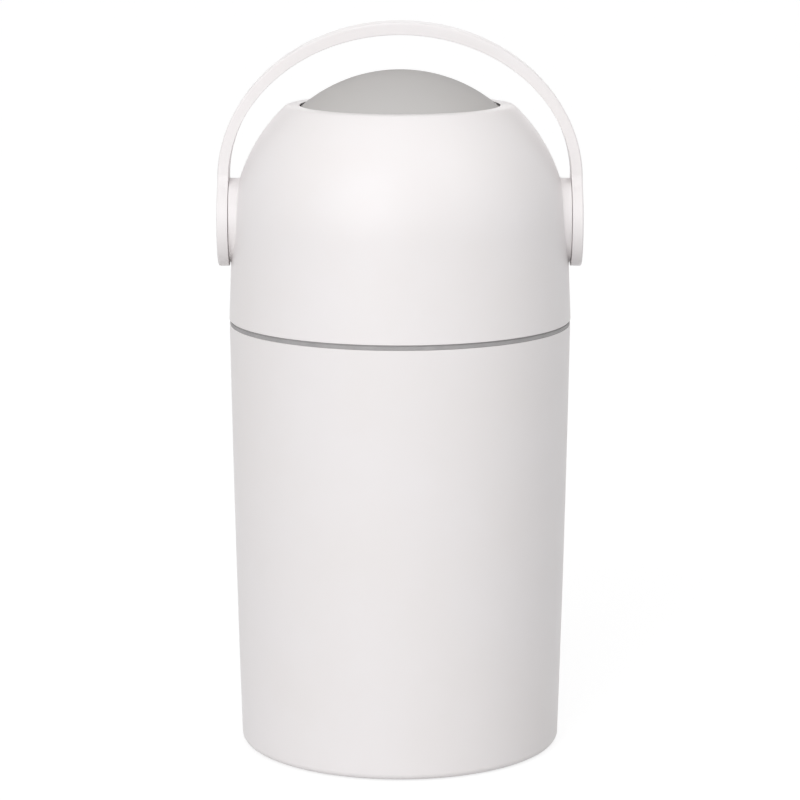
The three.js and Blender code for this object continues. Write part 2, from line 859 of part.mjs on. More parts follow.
// The pocket that carries the nappy, open towards +Y at rest.
function ballCup() {
  const neckRadiusHere = mouthRadius - seatGap;
  const flangeRadius = mouthRadius + cupFlange;
  const flangeTopY = mouthSeat() - seatGap;
  const flangeLowY = flangeTopY - cupWall;
  const rimTop = Math.sqrt((ballRadius - cupSink) ** 2 - neckRadiusHere ** 2);
  const inner = mouthRadius - seatGap - cupWall;
  const floorOuter = cupBackRoom - ballBore;
  const floorRadius = inner - cupTaper;
  const profile = [
    at(0, floorOuter),
    ...arc(floorRadius + cupWall - cupCorner, floorOuter + cupCorner, cupCorner, -90, 0, roundSteps),
    at(inner + cupWall - overrun, flangeLowY),
    at(flangeRadius, flangeLowY),
    at(flangeRadius, flangeTopY),
    at(neckRadiusHere, flangeTopY),
    at(neckRadiusHere, rimTop - edgeRound),
    at(neckRadiusHere - edgeRound, rimTop),
    at(inner + edgeRound, rimTop),
    ...arc(floorRadius - cupCorner, floorOuter + cupWall + cupCorner, cupCorner, 0, -90, roundSteps),
    at(0, floorOuter + cupWall),
  ];
  return turnedY(profile, ballSides);
}

// Assembly

const bin = new THREE.Group();
bin.add(piece('bin_body', binBody(), whiteShell), ...feet());

const top = new THREE.Group();
top.position.z = binHeight;
top.add(piece('bag_ring', bagRing(), innerShell));
top.add(piece('lid_seal', lidSeal(), greySeal));

const lid = new THREE.Group();
lid.position.z = pivotRise;
lid.add(piece('lid_housing', lidHousing(), whiteShell));
lid.add(piece('lid_cradle', lidCradle(), innerShell));
lid.add(piece('top_wiper', wiperSeal(openingRadius, 1), darkRubber));
lid.add(piece('drop_wiper', wiperSeal(dropRadius, -1), darkRubber));
lid.add(...cradleScrews());
top.add(lid);

const turning = new THREE.Group();
turning.add(piece('handle', handle(), whiteShell));
turning.add(piece('ball_front_shell', ballHalf(-1, 0), greyBall));
turning.add(piece('ball_mouth_shell', ballHalf(1, mouthRadius), greyBall));
turning.add(piece('ball_cup', ballCup(), greyBall));
turning.add(...ballScrews());
for (const [sideName, side] of [['left', -1], ['right', 1]]) {
  lid.add(piece(`axle_bush_${sideName}`, axleBush(side), bushPlastic));
  turning.add(piece(`axle_${sideName}`, axle(side), bushPlastic));
  turning.add(piece(`handle_screw_${sideName}`, handleScrew(side), screwSteel));
  turning.add(piece(`handle_cap_${sideName}`, handleCap(side), whiteShell));
}
lid.add(turning);

const group = new THREE.Group();
group.add(bin, top);

export default group;
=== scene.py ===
"""A nappy bin with a turning ball: every piece, its finish and the studio round it."""

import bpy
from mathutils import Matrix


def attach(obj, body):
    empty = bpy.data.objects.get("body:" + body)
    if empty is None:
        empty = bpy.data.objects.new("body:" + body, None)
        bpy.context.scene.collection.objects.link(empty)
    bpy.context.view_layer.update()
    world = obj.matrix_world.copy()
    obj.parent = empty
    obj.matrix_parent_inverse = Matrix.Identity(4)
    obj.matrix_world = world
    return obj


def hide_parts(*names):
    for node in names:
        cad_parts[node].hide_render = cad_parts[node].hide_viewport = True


bl_info = {
    "name": "Nappy bin",
    "version": (1, 0, 0),
    "blender": (4, 5, 0),
    "location": "3D View > Sidebar > Nappy bin",
    "description": "Builds a nappy bin with a domed lid, a turning ball and an arched handle",
    "category": "Object",
}

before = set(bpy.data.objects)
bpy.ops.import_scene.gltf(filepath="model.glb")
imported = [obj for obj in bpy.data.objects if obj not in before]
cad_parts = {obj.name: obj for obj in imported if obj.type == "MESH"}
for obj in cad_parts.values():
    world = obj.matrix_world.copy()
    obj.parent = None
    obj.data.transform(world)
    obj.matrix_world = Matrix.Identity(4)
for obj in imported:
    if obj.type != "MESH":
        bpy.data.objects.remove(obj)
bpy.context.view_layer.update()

import math

import bmesh
import bpy
from bpy.props import FloatProperty, FloatVectorProperty, PointerProperty
from mathutils import Matrix, Vector

MM = 0.001
QUARTER = math.pi / 2
CENTRE = (0.0, 0.0)
SIDES = ((-1, "left"), (1, "right"))

# How finely forms are divided: how many sides and steps, then the steps that are angles, the
# sector's in degrees.
SHELL_SIDES = 192
BOSS_SIDES = 160
CORE_SIDES = 128
HUB_SIDES = 96
SMALL_SIDES = 64
HUB_SCREW_SIDES = 48
SCREW_SIDES = 32
HEX_SIDES = 6
ARCH_STEPS = 120
WALL_STEPS = 12
EDGE_STEPS = 5
BEVEL_SEGMENTS = 2
DOME_STEP = math.radians(2.0)
BOWL_STEP = math.radians(3.0)
INSIDE_STEP = math.radians(4.0)
ROLL_STEP = math.radians(8.0)
FILLET_STEP = math.radians(18.0)
SECTOR_STEP = 1.5

# Limits of the mesh tools.
SHARP_ANGLE = math.radians(34.0)
NEARLY_STRAIGHT = 0.01
FILLET_REACH_SHARE = 0.49
ON_AXIS = 0.0001 * MM
WELD = 0.03 * MM
SLIVER = 0.003 * MM

# What several pieces share: the gap where parts seat, how deep parts and cutters overlap, how
# many pieces stand in a circle, the screws and their seats in the ball and the hubs, and the
# axle's tube, its bush, its key and its head.
SEAT_GAP = 0.3 * MM
OVERLAP = 1 * MM
FOOT_COUNT = 4
LUG_COUNT = 4
CRADLE_SCREWS = 6
SCREW_RADIUS = 1.5 * MM
SCREW_HEAD = 3.2 * MM
SCREW_HEAD_HEIGHT = 2 * MM
SCREW_HOLE = SCREW_RADIUS + SEAT_GAP
BALL_SCREW_SEAT = 24 * MM
HUB_SEAT = 4.2 * MM
TUBE_RADIUS = 17 * MM
TUBE_GAP = 2.3 * MM
BUSH_RADIUS = 13.1 * MM
KEY_RADIUS = 9 * MM
KEY_BORE = KEY_RADIUS + SEAT_GAP
AXLE_REACH = 12.3 * MM
AXLE_HEAD = 13 * MM
AXLE_HEAD_HEIGHT = 2.6 * MM


# Sizes and colours

def mm(*lengths):
    """Lengths that are given in millimetres, in metres."""
    return [value * MM for value in lengths]


def length(name, description, millimetres):
    """A length in the settings, its default given in millimetres."""
    return FloatProperty(
        name=name, description=description, default=millimetres * MM,
        min=0.0, unit='LENGTH', precision=4,
    )


def colour(name, description, red, green, blue):
    """A colour in the settings."""
    return FloatVectorProperty(
        name=name, description=description, default=(red, green, blue),
        subtype='COLOR', size=3, min=0.0, max=1.0,
    )


class NAPPYBIN_PG_bin(bpy.types.PropertyGroup):
    """Sizes of the bin and its feet"""
    height: length("Height", "Height of the shoulder that carries the lid", 342)
    foot_radius: length("Foot radius", "Outer radius at the floor", 128.2)
    rim_radius: length("Rim radius", "Outer radius at the shoulder", 135.6)
    bow: length("Bow", "How far the wall bows out at half height", 0.7)
    wall: length("Wall", "Thickness of the outer wall", 2.6)
    foot_lift: length("Foot lift", "Gap under the bottom edge", 1.0)
    foot_fillet: length("Foot fillet", "Rounding of the bottom edge", 5.5)
    rim_width: length("Rim width", "Width of the standing rim", 8)
    underside: length("Underside", "Height of the floor's underside", 6.5)
    floor: length("Floor", "Thickness of the floor", 3)
    neck_radius: length("Neck radius", "Outer radius of the neck", 128.5)
    neck_wall: length("Neck wall", "Thickness of the neck", 2.5)
    neck_height: length("Neck height", "Height of the neck over the shoulder", 32)
    ledge_radius: length("Ledge radius", "Outer radius of the bayonet ledges", 131.8)
    pad_radius: length("Pad radius", "Radius of a rubber foot", 10)
    pad_height: length("Pad height", "Height of a rubber foot", 6.2)
    pad_circle: length("Pad circle", "Radius of the circle that the feet stand on", 101)


class NAPPYBIN_PG_ring(bpy.types.PropertyGroup):
    """Sizes of the bag ring and the seal ring"""
    collar_radius: length("Collar radius", "Outer radius of the bag ring's collar", 123.8)
    wall: length("Wall", "Thickness of the bag ring's collar", 2.6)
    foot: length("Foot", "Height of the collar's lower edge", 340.8)
    top: length("Top", "Height of the flange's upper face", 376.8)
    flange: length("Flange", "Thickness of the flange", 2.5)
    rib_radius: length("Rib radius", "Outer radius of the clamping ribs", 125.3)
    seal_inner: length("Seal bore", "Inner radius of the seal ring", 132.6)
    seal_outer: length("Seal radius", "Outer radius of the seal ring", 135.3)
    seal_foot: length("Seal foot", "Height of the seal ring's lower face", 342.1)
    seal_height: length("Seal height", "Height of the seal ring", 3.6)
    bead_depth: length("Bead depth", "How far the seal's bead stands out", 0.7)
    bead_top: length("Bead top", "Height of the groove over the bead", 0.8)


class NAPPYBIN_PG_lid(bpy.types.PropertyGroup):
    """Sizes of the lid and its cradle"""
    pivot: length("Pivot height", "Height of the axle over the floor", 423)
    foot: length("Foot", "Height of the skirt's lower edge", 346)
    skirt_radius: length("Skirt radius", "Outer radius at the skirt's lower edge", 135.9)
    dome_radius: length("Dome radius", "Outer radius of the dome", 132.8)
    dome_drop: length("Dome drop", "How far the dome's centre lies under the axle", 5.3)
    wall: length("Wall", "Thickness of the lid's wall", 2.6)
    opening: length("Opening", "Radius of the opening for the ball", 78.6)
    rim_round: length("Rim rounding", "Rounding between dome and rim", 6)
    ball_gap: length("Ball gap", "Gap between the lip and the ball", 1.5)
    boss_radius: length("Boss radius", "Radius of the side bosses", 32.9)
    boss_lift: length("Boss lift", "How far a boss's middle lies over the axle", 1.6)
    boss_face: length("Boss face", "Distance of a boss's face from the middle", 134.9)
    boss_wall: length("Boss wall", "Wall of the side bosses", 2.6)
    boss_fillet: length("Boss fillet", "Rounding where a boss meets the dome", 1.6)
    lug_radius: length("Lug radius", "Inner radius of the bayonet lugs", 129.3)
    lug_top: length("Lug top", "Height of the lugs' upper face", 355)
    lug_height: length("Lug height", "Height of a lug", 5)
    flange_foot: length("Flange foot", "Height of the cradle flange's lower face", 380)
    flange: length("Flange", "Thickness of the cradle's flange", 2.6)
    flange_radius: length("Flange radius", "Outer radius of the cradle's flange", 131.1)
    cradle_wall: length("Cradle wall", "Thickness of the cradle's bowl", 2.5)
    drop_radius: length("Drop radius", "Radius of the opening into the bin", 77)
    chute_depth: length("Chute depth", "Height of the chute under the bowl", 9)
    screw_circle: length("Screw circle", "Radius of the circle of the cradle's screws", 127.5)


class NAPPYBIN_PG_ball(bpy.types.PropertyGroup):
    """Sizes of the ball and its pocket"""
    radius: length("Radius", "Outer radius of the ball", 120)
    wall: length("Wall", "Thickness of the ball's shells", 2.6)
    mouth: length("Mouth", "Radius of the pocket's mouth", 75)
    seam: length("Seam", "Gap between the two shells", 0.3)
    cup_wall: length("Cup wall", "Thickness of the pocket", 2.4)
    cup_flange: length("Cup flange", "How far the pocket's flange stands out", 4.4)
    cup_back: length("Cup back", "Distance of the pocket's floor from the axle", 60.4)
    cup_taper: length("Cup taper", "How much narrower the pocket's floor is", 9)
    cup_corner: length("Cup corner", "Rounding of the pocket's floor", 8)


class NAPPYBIN_PG_handle(bpy.types.PropertyGroup):
    """Sizes of the handle and its caps"""
    inner: length("Inner reach", "Distance of an arm's inner face from the middle", 135.2)
    thickness: length("Thickness", "Thickness of the arms and hubs", 8.6)
    crown: length("Crown", "Thickness at the top of the arch", 9.8)
    width: length("Width", "Width of the arch from front to back", 30)
    straight: length("Straight arm", "Length of an arm before the arch starts", 35)
    rise: length("Rise", "Height of the arch's inner face over the straight arms", 113.2)
    hub_radius: length("Hub radius", "Radius of the round hubs", 35.2)
    flare: length("Flare", "Radius of the flare between arm and hub", 14)
    edge: length("Outer edge", "Rounding of the outer long edges", 1.5)
    inner_edge: length("Inner edge", "Rounding of the inner long edges", 0.5)
    cap_radius: length("Cap radius", "Radius of the cap over a hub's screw", 13.7)
    cap_height: length("Cap height", "Thickness of a cap", 2)
    cap_dish: length("Cap dish", "How deep a cap is dished", 0.6)


class NAPPYBIN_PG_finish(bpy.types.PropertyGroup):
    """Colours of the finishes"""
    shell: colour("Shell", "Warm white of the bin, lid and handle", 0.858, 0.829, 0.833)
    inner: colour("Inner parts", "Pale grey of the cradle and the bag ring", 0.66, 0.645, 0.63)
    ball: colour("Ball", "Light grey of the ball and its pocket", 0.535, 0.522, 0.515)
    seal: colour("Seal", "Mid grey of the seal ring", 0.345, 0.335, 0.338)
    # Near black also as painted shade: the wipers darken the gap round the ball.
    rubber: colour("Rubber", "Near black of the feet and wipers", 0.028, 0.028, 0.029)
    bush: colour("Bushes", "Off-white of the axles and bushes", 0.70, 0.68, 0.64)
    steel: colour("Screws", "Zinc plate of the screws", 0.58, 0.58, 0.59)


class NAPPYBIN_PG_studio(bpy.types.PropertyGroup):
    """The camera's place and the floor's colour"""
    camera_distance: length("Camera distance", "How far in front of the bin the camera is", 2476)
    camera_height: length("Camera height", "Height of the camera", 746.5)
    aim_height: length("Aim height", "Height that the camera looks at", 278.7)
    lens: FloatProperty(
        name="Lens", description="Focal length of the camera", default=141.4, unit='CAMERA')
    floor: colour("Floor", "Pale floor under the bin", 0.68, 0.68, 0.68)


class NAPPYBIN_PG_settings(bpy.types.PropertyGroup):
    """All groups of settings"""
    bin: PointerProperty(type=NAPPYBIN_PG_bin)
    ring: PointerProperty(type=NAPPYBIN_PG_ring)
    lid: PointerProperty(type=NAPPYBIN_PG_lid)
    ball: PointerProperty(type=NAPPYBIN_PG_ball)
    handle: PointerProperty(type=NAPPYBIN_PG_handle)
    finish: PointerProperty(type=NAPPYBIN_PG_finish)
    studio: PointerProperty(type=NAPPYBIN_PG_studio)


# Mesh tools

def spaced(count):
    """Angles in degrees of evenly spaced pieces, the first half a step round from +X."""
    return [(i + 0.5) * 360 / count for i in range(count)]


def upright(height):
    """Places a turned form with its axis along Z."""
    return Matrix.Translation((0.0, 0.0, height))


def sideways(side, height):
    """Places a turned form with its axis along X, pointing out on the given side."""
    return upright(height) @ Matrix.Rotation(side * QUARTER, 4, 'Y')


def both_sides(height):
    """The sideways places on the right and on the left."""
    return [sideways(side, height) for side in (1, -1)]


def backwards(height):
    """Places a turned form with its axis along +Y."""
    return upright(height) @ Matrix.Rotation(-QUARTER, 4, 'X')


def around(angle, radius, height=0.0):
    """Places a form at an angle in degrees round Z."""
    turn = Matrix.Rotation(math.radians(angle), 4, 'Z')
    return turn @ Matrix.Translation((radius, 0.0, height))


def arc(centre, radius, start, end, step=DOME_STEP):
    """Profile points on an arc, angles in radians up from the radius direction."""
    count = max(2, math.ceil(abs(end - start) / step))
    angles = [start + (end - start) * i / count for i in range(count + 1)]
    return [(centre[0] + radius * math.cos(a), centre[1] + radius * math.sin(a)) for a in angles]


def rounded(corners, closed=True):
    """Rounds profile corners that are given as (radius, height, fillet)."""
    points = []
    count = len(corners)
    for i, corner in enumerate(corners):
        fillet = corner[2] if len(corner) > 2 else 0.0
        here = Vector(corner[:2])
        before = Vector(corners[i - 1][:2]) - here
        after = Vector(corners[(i + 1) % count][:2]) - here
        kept = fillet <= 0.0 or (not closed and i in (0, count - 1))
        if kept or before.angle(after) > math.pi - NEARLY_STRAIGHT:
            points.append(tuple(here))
            continue
        reach = FILLET_REACH_SHARE * min(before.length, after.length)
        before.normalize()
        after.normalize()
        inside = before.angle(after)
        cut = min(fillet / math.tan(inside / 2), reach)
        radius = cut * math.tan(inside / 2)
        centre = here + (before + after).normalized() * radius / math.sin(inside / 2)
        start = here + before * cut - centre
        end = here + after * cut - centre
        steps = max(2, math.ceil((math.pi - inside) / FILLET_STEP))
        turn = start.angle_signed(end)
        for k in range(steps + 1):
            cosine, sine = math.cos(-turn * k / steps), math.sin(-turn * k / steps)
            points.append((
                centre.x + start.x * cosine - start.y * sine,
                centre.y + start.x * sine + start.y * cosine,
            ))
    return points


def quarter_round(radius, steps=EDGE_STEPS):
    """A rounded edge as (depth from the face, inset from the side)."""
    turns = [QUARTER * i / steps for i in range(steps + 1)]
    return [(radius * (1 - math.cos(turn)), radius * (1 - math.sin(turn))) for turn in turns]


def strip(bm, low, high, loop=True):
    """Joins two rows of vertices with faces; a row of one vertex is a pole."""
    count = max(len(low), len(high))
    for k in range(count if loop else count - 1):
        after = (k + 1) % count
        if len(low) == 1:
            bm.faces.new((low[0], high[k], high[after]))
        elif len(high) == 1:
            bm.faces.new((low[k], low[after], high[0]))
        else:
            bm.faces.new((low[k], low[after], high[after], high[k]))


def skin(bm, rows, loop=True):
    """Joins each row of vertices to the next."""
    for low, high in zip(rows, rows[1:]):
        strip(bm, low, high, loop)


def facing_out(bm):
    """Turns every face outwards."""
    bmesh.ops.recalc_face_normals(bm, faces=bm.faces)
    return bm


def soften(bm, edges, width):
    """Bevels edges to a small round."""
    bmesh.ops.bevel(
        bm, geom=list(edges), offset=width, segments=BEVEL_SEGMENTS, profile=0.5, affect='EDGES')
    return bm


def turned(points, sides=SHELL_SIDES, place=None):
    """A solid turned from a profile that starts and ends on the axis or closes on itself."""
    place = place or Matrix()
    bm = bmesh.new()
    rows = []
    for radius, height in points:
        if radius < ON_AXIS:
            rows.append([bm.verts.new(place @ Vector((0.0, 0.0, height)))])
            continue
        row = []
        for k in range(sides):
            angle = 2 * math.pi * k / sides
            local = Vector((radius * math.cos(angle), radius * math.sin(angle), height))
            row.append(bm.verts.new(place @ local))
        rows.append(row)
    skin(bm, rows)
    if len(rows[0]) > 1 and len(rows[-1]) > 1:
        strip(bm, rows[-1], rows[0])
    return facing_out(bm)


def rod(radius, low, high, sides=SMALL_SIDES, place=None, edge=0.0):
    """A turned rod with rounded ends."""
    corners = [(0.0, low), (radius, low, edge), (radius, high, edge), (0.0, high)]
    return turned(rounded(corners, closed=False), sides, place)


def sector(corners, start, end, bevel):
    """Part of a turned ring between two angles in degrees, with softened ends."""
    bm = bmesh.new()
    steps = max(2, math.ceil((end - start) / SECTOR_STEP))
    points = rounded(corners)
    rows = []
    for i in range(steps + 1):
        angle = math.radians(start + (end - start) * i / steps)
        rows.append([
            bm.verts.new((r * math.cos(angle), r * math.sin(angle), h)) for r, h in points
        ])
    skin(bm, rows)
    ends = [bm.faces.new(rows[0]), bm.faces.new(rows[-1])]
    return soften(facing_out(bm), {edge for face in ends for edge in face.edges}, bevel)


def bar(size, place, bevel):
    """A bevelled bar, centred on its place."""
    bm = bmesh.new()
    bmesh.ops.create_cube(bm, size=1.0, matrix=place @ Matrix.Diagonal((*size, 1.0)))
    return soften(bm, bm.edges, bevel)


def ribs(count, start, end, low, high, width, edge):
    """Evenly spaced ribs that run outwards between two radii."""
    size = (end - start, width, high - low)
    return [
        bar(size, around(angle, (start + end) / 2, (low + high) / 2), edge)
        for angle in spaced(count)
    ]


def link_object(name, data):
    """Adds an object with its mesh, light or camera to the scene."""
    item = bpy.data.objects.new(name, data)
    bpy.context.scene.collection.objects.link(item)
    return item


def as_object(name, bm):
    """Turns a finished mesh into an object in the scene."""
    mesh = bpy.data.meshes.new(name)
    bm.to_mesh(mesh)
    bm.free()
    return link_object(name, mesh)


def lathed(name, corners, sides=SHELL_SIDES, place=None, closed=True):
    """An object turned from a profile with rounded corners."""
    return as_object(name, turned(rounded(corners, closed), sides, place))


def discard(item):
    """Removes an object that has done its work, with its mesh."""
    mesh = item.data
    bpy.data.objects.remove(item)
    bpy.data.meshes.remove(mesh)


def combine(item, operation, tools):
    """Joins tool meshes to an object, cuts them from it, or keeps what they share."""
    helpers = [as_object("tool", tool) for tool in tools]
    for helper in helpers:
        step = item.modifiers.new("shape", 'BOOLEAN')
        step.operation = operation
        step.solver = 'MANIFOLD'
        step.object = helper
    graph = bpy.context.evaluated_depsgraph_get()
    bm = bmesh.new()
    bm.from_object(item, graph)
    bmesh.ops.dissolve_degenerate(bm, dist=SLIVER, edges=bm.edges)
    item.modifiers.clear()
    bm.to_mesh(item.data)
    bm.free()
    for helper in helpers:
        discard(helper)


# Finishes

# How nodes are laid out, and how finely the masks for wear and dust are sampled.
NODE_STEP = 200
MASK_SAMPLES = 4

# The range that holds most of a cloud's values, and what the masks call worn, or deep enough in a
# gap for painted shade.
CLOUD_LOW, CLOUD_HIGH = 0.3, 0.7
WEAR_START, WEAR_FULL = 0.99, 0.82
GAP_START, GAP_FULL = 0.55, 0.15

# Colours that painted shade with a dusty tint, wear, and painted shade in steel's recesses mix into
# a finish, and the factors of its mottling.
DUST_AND_SHADE = (0.30, 0.28, 0.25)
RUBBED_PLASTIC = (0.92, 0.92, 0.92)
RUBBED_RUBBER = (0.42, 0.41, 0.40)
PLATE_SHADOW = (0.12, 0.11, 0.10)
PLASTIC_MOTTLE = (0.988, 0.984, 0.976)
RUBBER_MOTTLE = (1.18, 1.18, 1.18)
PLATE_MOTTLE = (0.82, 0.82, 0.82)
SAME = (1.0, 1.0, 1.0)


def solid(tint, factors=SAME):
    """A colour as a socket takes it, each channel times its factor."""
    return (*(channel * factor for channel, factor in zip(tint, factors)), 1.0)


def feed(tree, socket, value):
    """Gives a socket a constant, or links another node's output to it."""
    if isinstance(value, bpy.types.NodeSocket):
        tree.links.new(value, socket)
    else:
        socket.default_value = value


def set_inputs(tree, node, **values):
    """Feeds a node's inputs by name, with _ for a space."""
    for name, value in values.items():
        feed(tree, node.inputs[name.replace("_", " ")], value)


def add_node(tree, kind, settings=None, numbered=None, **named):
    """Adds a node beside the last one, with settings and inputs by number or name."""
    node = tree.nodes.new(kind)
    node.location = (NODE_STEP * len(tree.nodes), 0.0)
    for name, value in (settings or {}).items():
        setattr(node, name, value)
    for number, value in (numbered or {}).items():
        feed(tree, node.inputs[number], value)
    set_inputs(tree, node, **named)
    return node


def fresh_tree(owner, output_kind):
    """Clears the nodes of a material or world, and gives its tree and its surface socket."""
    owner.use_nodes = True
    tree = owner.node_tree
    tree.nodes.clear()
    return tree, add_node(tree, output_kind).inputs['Surface']


def new_material(name):
    """A material with an empty shader, and its object coordinates."""
    material = bpy.data.materials.new(name)
    tree, surface = fresh_tree(material, 'ShaderNodeOutputMaterial')
    shader = add_node(tree, 'ShaderNodeBsdfPrincipled')
    feed(tree, surface, shader.outputs['BSDF'])
    return material, tree, shader, add_node(tree, 'ShaderNodeTexCoord').outputs['Object']


def noise(tree, place, scale, detail=3.0, rough=0.55):
    """Cloudy noise; scale is in clouds for each metre."""
    return add_node(
        tree, 'ShaderNodeTexNoise', Vector=place, Scale=scale, Detail=detail, Roughness=rough,
    ).outputs['Fac']


def ranged(tree, value, low, high, to_low=0.0, to_high=1.0):
    """Maps a range of values to another."""
    return add_node(
        tree, 'ShaderNodeMapRange', Value=value, From_Min=low, From_Max=high,
        To_Min=to_low, To_Max=to_high,
    ).outputs['Result']


def spread(tree, cloud, low=0.0, high=1.0):
    """Maps most of a cloud's values to a range."""
    return ranged(tree, cloud, CLOUD_LOW, CLOUD_HIGH, low, high)


def computed(tree, operation, first, second):
    """One step of arithmetic on two values."""
    return add_node(
        tree, 'ShaderNodeMath', {'operation': operation}, {0: first, 1: second},
    ).outputs['Value']


def blend_colour(tree, factor, first, second):
    """Mixes two colours; each is a constant colour or another node's output."""
    return add_node(
        tree, 'ShaderNodeMix', {'data_type': 'RGBA'}, {0: factor, 6: first, 7: second},
    ).outputs[2]


def bumped(tree, height, strength, depth):
    """A normal that is raised and sunk by a height."""
    return add_node(
        tree, 'ShaderNodeBump', Height=height, Strength=strength, Distance=depth,
    ).outputs['Normal']


def edge_wear(tree, radius, amount):
    """A mask on rubbed outer edges, from the bevelled normal."""
    bevel = add_node(tree, 'ShaderNodeBevel', {'samples': MASK_SAMPLES}, Radius=radius)
    flat = add_node(tree, 'ShaderNodeNewGeometry')
    dot = add_node(
        tree, 'ShaderNodeVectorMath', {'operation': 'DOT_PRODUCT'},
        {0: bevel.outputs['Normal'], 1: flat.outputs['Normal']})
    return ranged(tree, dot.outputs['Value'], WEAR_START, WEAR_FULL, to_high=amount)


def occlusion_shade(tree, reach, amount=1.0):
    """A mask deep in gaps and corners, from ambient occlusion, for painted shade there."""
    node = add_node(
        tree, 'ShaderNodeAmbientOcclusion', {'samples': MASK_SAMPLES}, Distance=reach)
    return ranged(tree, node.outputs['AO'], GAP_START, GAP_FULL, to_high=amount)


def moulded_plastic(name, tint, roughness, grain=1.0, dust_and_shade=0.10, sheen=0.3):
    """Moulded plastic: faint mottling, spark-eroded grain, rubbed edges, painted shade with a dusty
    tint in the gaps.
    """
    material, tree, shader, place = new_material(name)
    cloud = ranged(tree, noise(tree, place, scale=11.0), low=0.35, high=0.65)
    base = blend_colour(tree, cloud, solid(tint), solid(tint, PLASTIC_MOTTLE))
    # Painted shade: gaps and corners darken towards a dusty colour by ambient occlusion.
    base = blend_colour(tree, occlusion_shade(tree, reach=6 * MM, amount=dust_and_shade), base, solid(DUST_AND_SHADE))
    worn = edge_wear(tree, radius=0.8 * MM, amount=0.12)
    base = blend_colour(tree, worn, base, solid(RUBBED_PLASTIC))
    drawn = add_node(tree, 'ShaderNodeMapping', Vector=place, Scale=(1.0, 1.0, 0.06))
    marks = noise(tree, drawn.outputs['Vector'], scale=420.0, detail=2.0)
    smudge = noise(tree, place, scale=26.0, detail=4.0, rough=0.65)
    gloss = computed(
        tree, 'ADD', spread(tree, marks, low=-0.02, high=0.02),
        spread(tree, smudge, low=roughness - 0.04, high=roughness + 0.04))
    cells = add_node(
        tree, 'ShaderNodeTexVoronoi', {'feature': 'SMOOTH_F1'},
        Vector=place, Scale=1100.0, Smoothness=0.8)
    fine = noise(tree, place, scale=2600.0, detail=2.0)
    skin_height = computed(tree, 'ADD', cells.outputs['Distance'], fine)
    set_inputs(
        tree, shader, Base_Color=base, Roughness=gloss, IOR=1.49, Specular_IOR_Level=sheen,
        Normal=bumped(tree, skin_height, strength=0.25 * grain, depth=0.03 * MM))
    return material


def moulded_rubber(name, tint, roughness):
    """Moulded rubber: matt, slightly dusty, with a pebbled skin."""
    material, tree, shader, place = new_material(name)
    cloud = ranged(tree, noise(tree, place, scale=60.0), low=0.35, high=0.7)
    base = blend_colour(tree, cloud, solid(tint), solid(tint, RUBBER_MOTTLE))
    worn = edge_wear(tree, radius=0.5 * MM, amount=0.25)
    base = blend_colour(tree, worn, base, solid(RUBBED_RUBBER))
    patch = noise(tree, place, scale=140.0, detail=4.0, rough=0.7)
    pebble = add_node(tree, 'ShaderNodeTexVoronoi', Vector=place, Scale=1500.0)
    set_inputs(
        tree, shader, Base_Color=base,
        Roughness=spread(tree, patch, low=roughness - 0.08, high=roughness + 0.06),
        Normal=bumped(tree, pebble.outputs['Distance'], strength=0.5, depth=0.04 * MM))
    return material


def plated_steel(name, tint):
    """Zinc-plated steel: turning marks, cloudy plate and painted shade in recesses."""
    material, tree, shader, place = new_material(name)
    cloud = spread(tree, noise(tree, place, scale=220.0))
    base = blend_colour(tree, cloud, solid(tint), solid(tint, PLATE_MOTTLE))
    # Painted shade: recesses darken by ambient occlusion.
    base = blend_colour(tree, occlusion_shade(tree, reach=2 * MM), base, solid(PLATE_SHADOW))
    fine = noise(tree, place, scale=900.0)
    set_inputs(
        tree, shader, Base_Color=base, Metallic=1.0,
        Roughness=spread(tree, fine, low=0.28, high=0.46),
        Normal=bumped(tree, fine, strength=0.3, depth=0.02 * MM))
    return material


def material_for(slot):
    """The finish of a slot, made when it is first asked for."""
    finish = bpy.context.scene.nappy_bin.finish
    name, maker, tint, look = {
        "white_shell": ("shell_plastic", moulded_plastic, finish.shell, {"roughness": 0.40}),
        "inner_shell": (
            "inner_plastic", moulded_plastic, finish.inner, {"roughness": 0.48, "grain": 1.4}),
        "grey_ball": (
            "ball_plastic", moulded_plastic, finish.ball,
            {"roughness": 0.50, "grain": 0.8, "dust_and_shade": 0.06, "sheen": 0.03}),
        "grey_seal": ("seal_rubber", moulded_rubber, finish.seal, {"roughness": 0.62}),
        "dark_rubber": ("wiper_rubber", moulded_rubber, finish.rubber, {"roughness": 0.74}),
        "bush_plastic": (
            "bearing_plastic", moulded_plastic, finish.bush, {"roughness": 0.32, "grain": 0.5}),
        "screw_steel": ("zinc_plate", plated_steel, finish.steel, {}),
    }[slot]
    return bpy.data.materials.get(name) or maker(name, tint, **look)


def finish_piece(item, body, slot, node):
    """Smooths a mesh, gives it its slot's finish, and puts it on its body for its CAD node."""
    mesh = item.data
    mesh.materials.append(material_for(slot))
    mesh.shade_smooth()
    mesh.set_sharp_from_angle(angle=SHARP_ANGLE)
    weights = item.modifiers.new("normals", 'WEIGHTED_NORMAL')
    weights.keep_sharp = True
    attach(item, body)
    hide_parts(node)


# Bin

def bin_radius_at(sizes, height):
    """Outer radius of the wall, which widens upwards and bows out a little."""
    share = height / sizes.height
    bow = 4 * sizes.bow * share * (1 - share)
    return sizes.foot_radius + (sizes.rim_radius - sizes.foot_radius) * share + bow


def wall_line(sizes, low, high, inset):
    """Profile points up the wall, set in from its outer face."""
    heights = [low + (high - low) * i / WALL_STEPS for i in range(WALL_STEPS + 1)]
    return [(bin_radius_at(sizes, height) - inset, height) for height in heights]


def rim_bore(sizes):
    """Inner radius of the standing rim under the bin."""
    return sizes.foot_radius - sizes.foot_fillet - sizes.rim_width


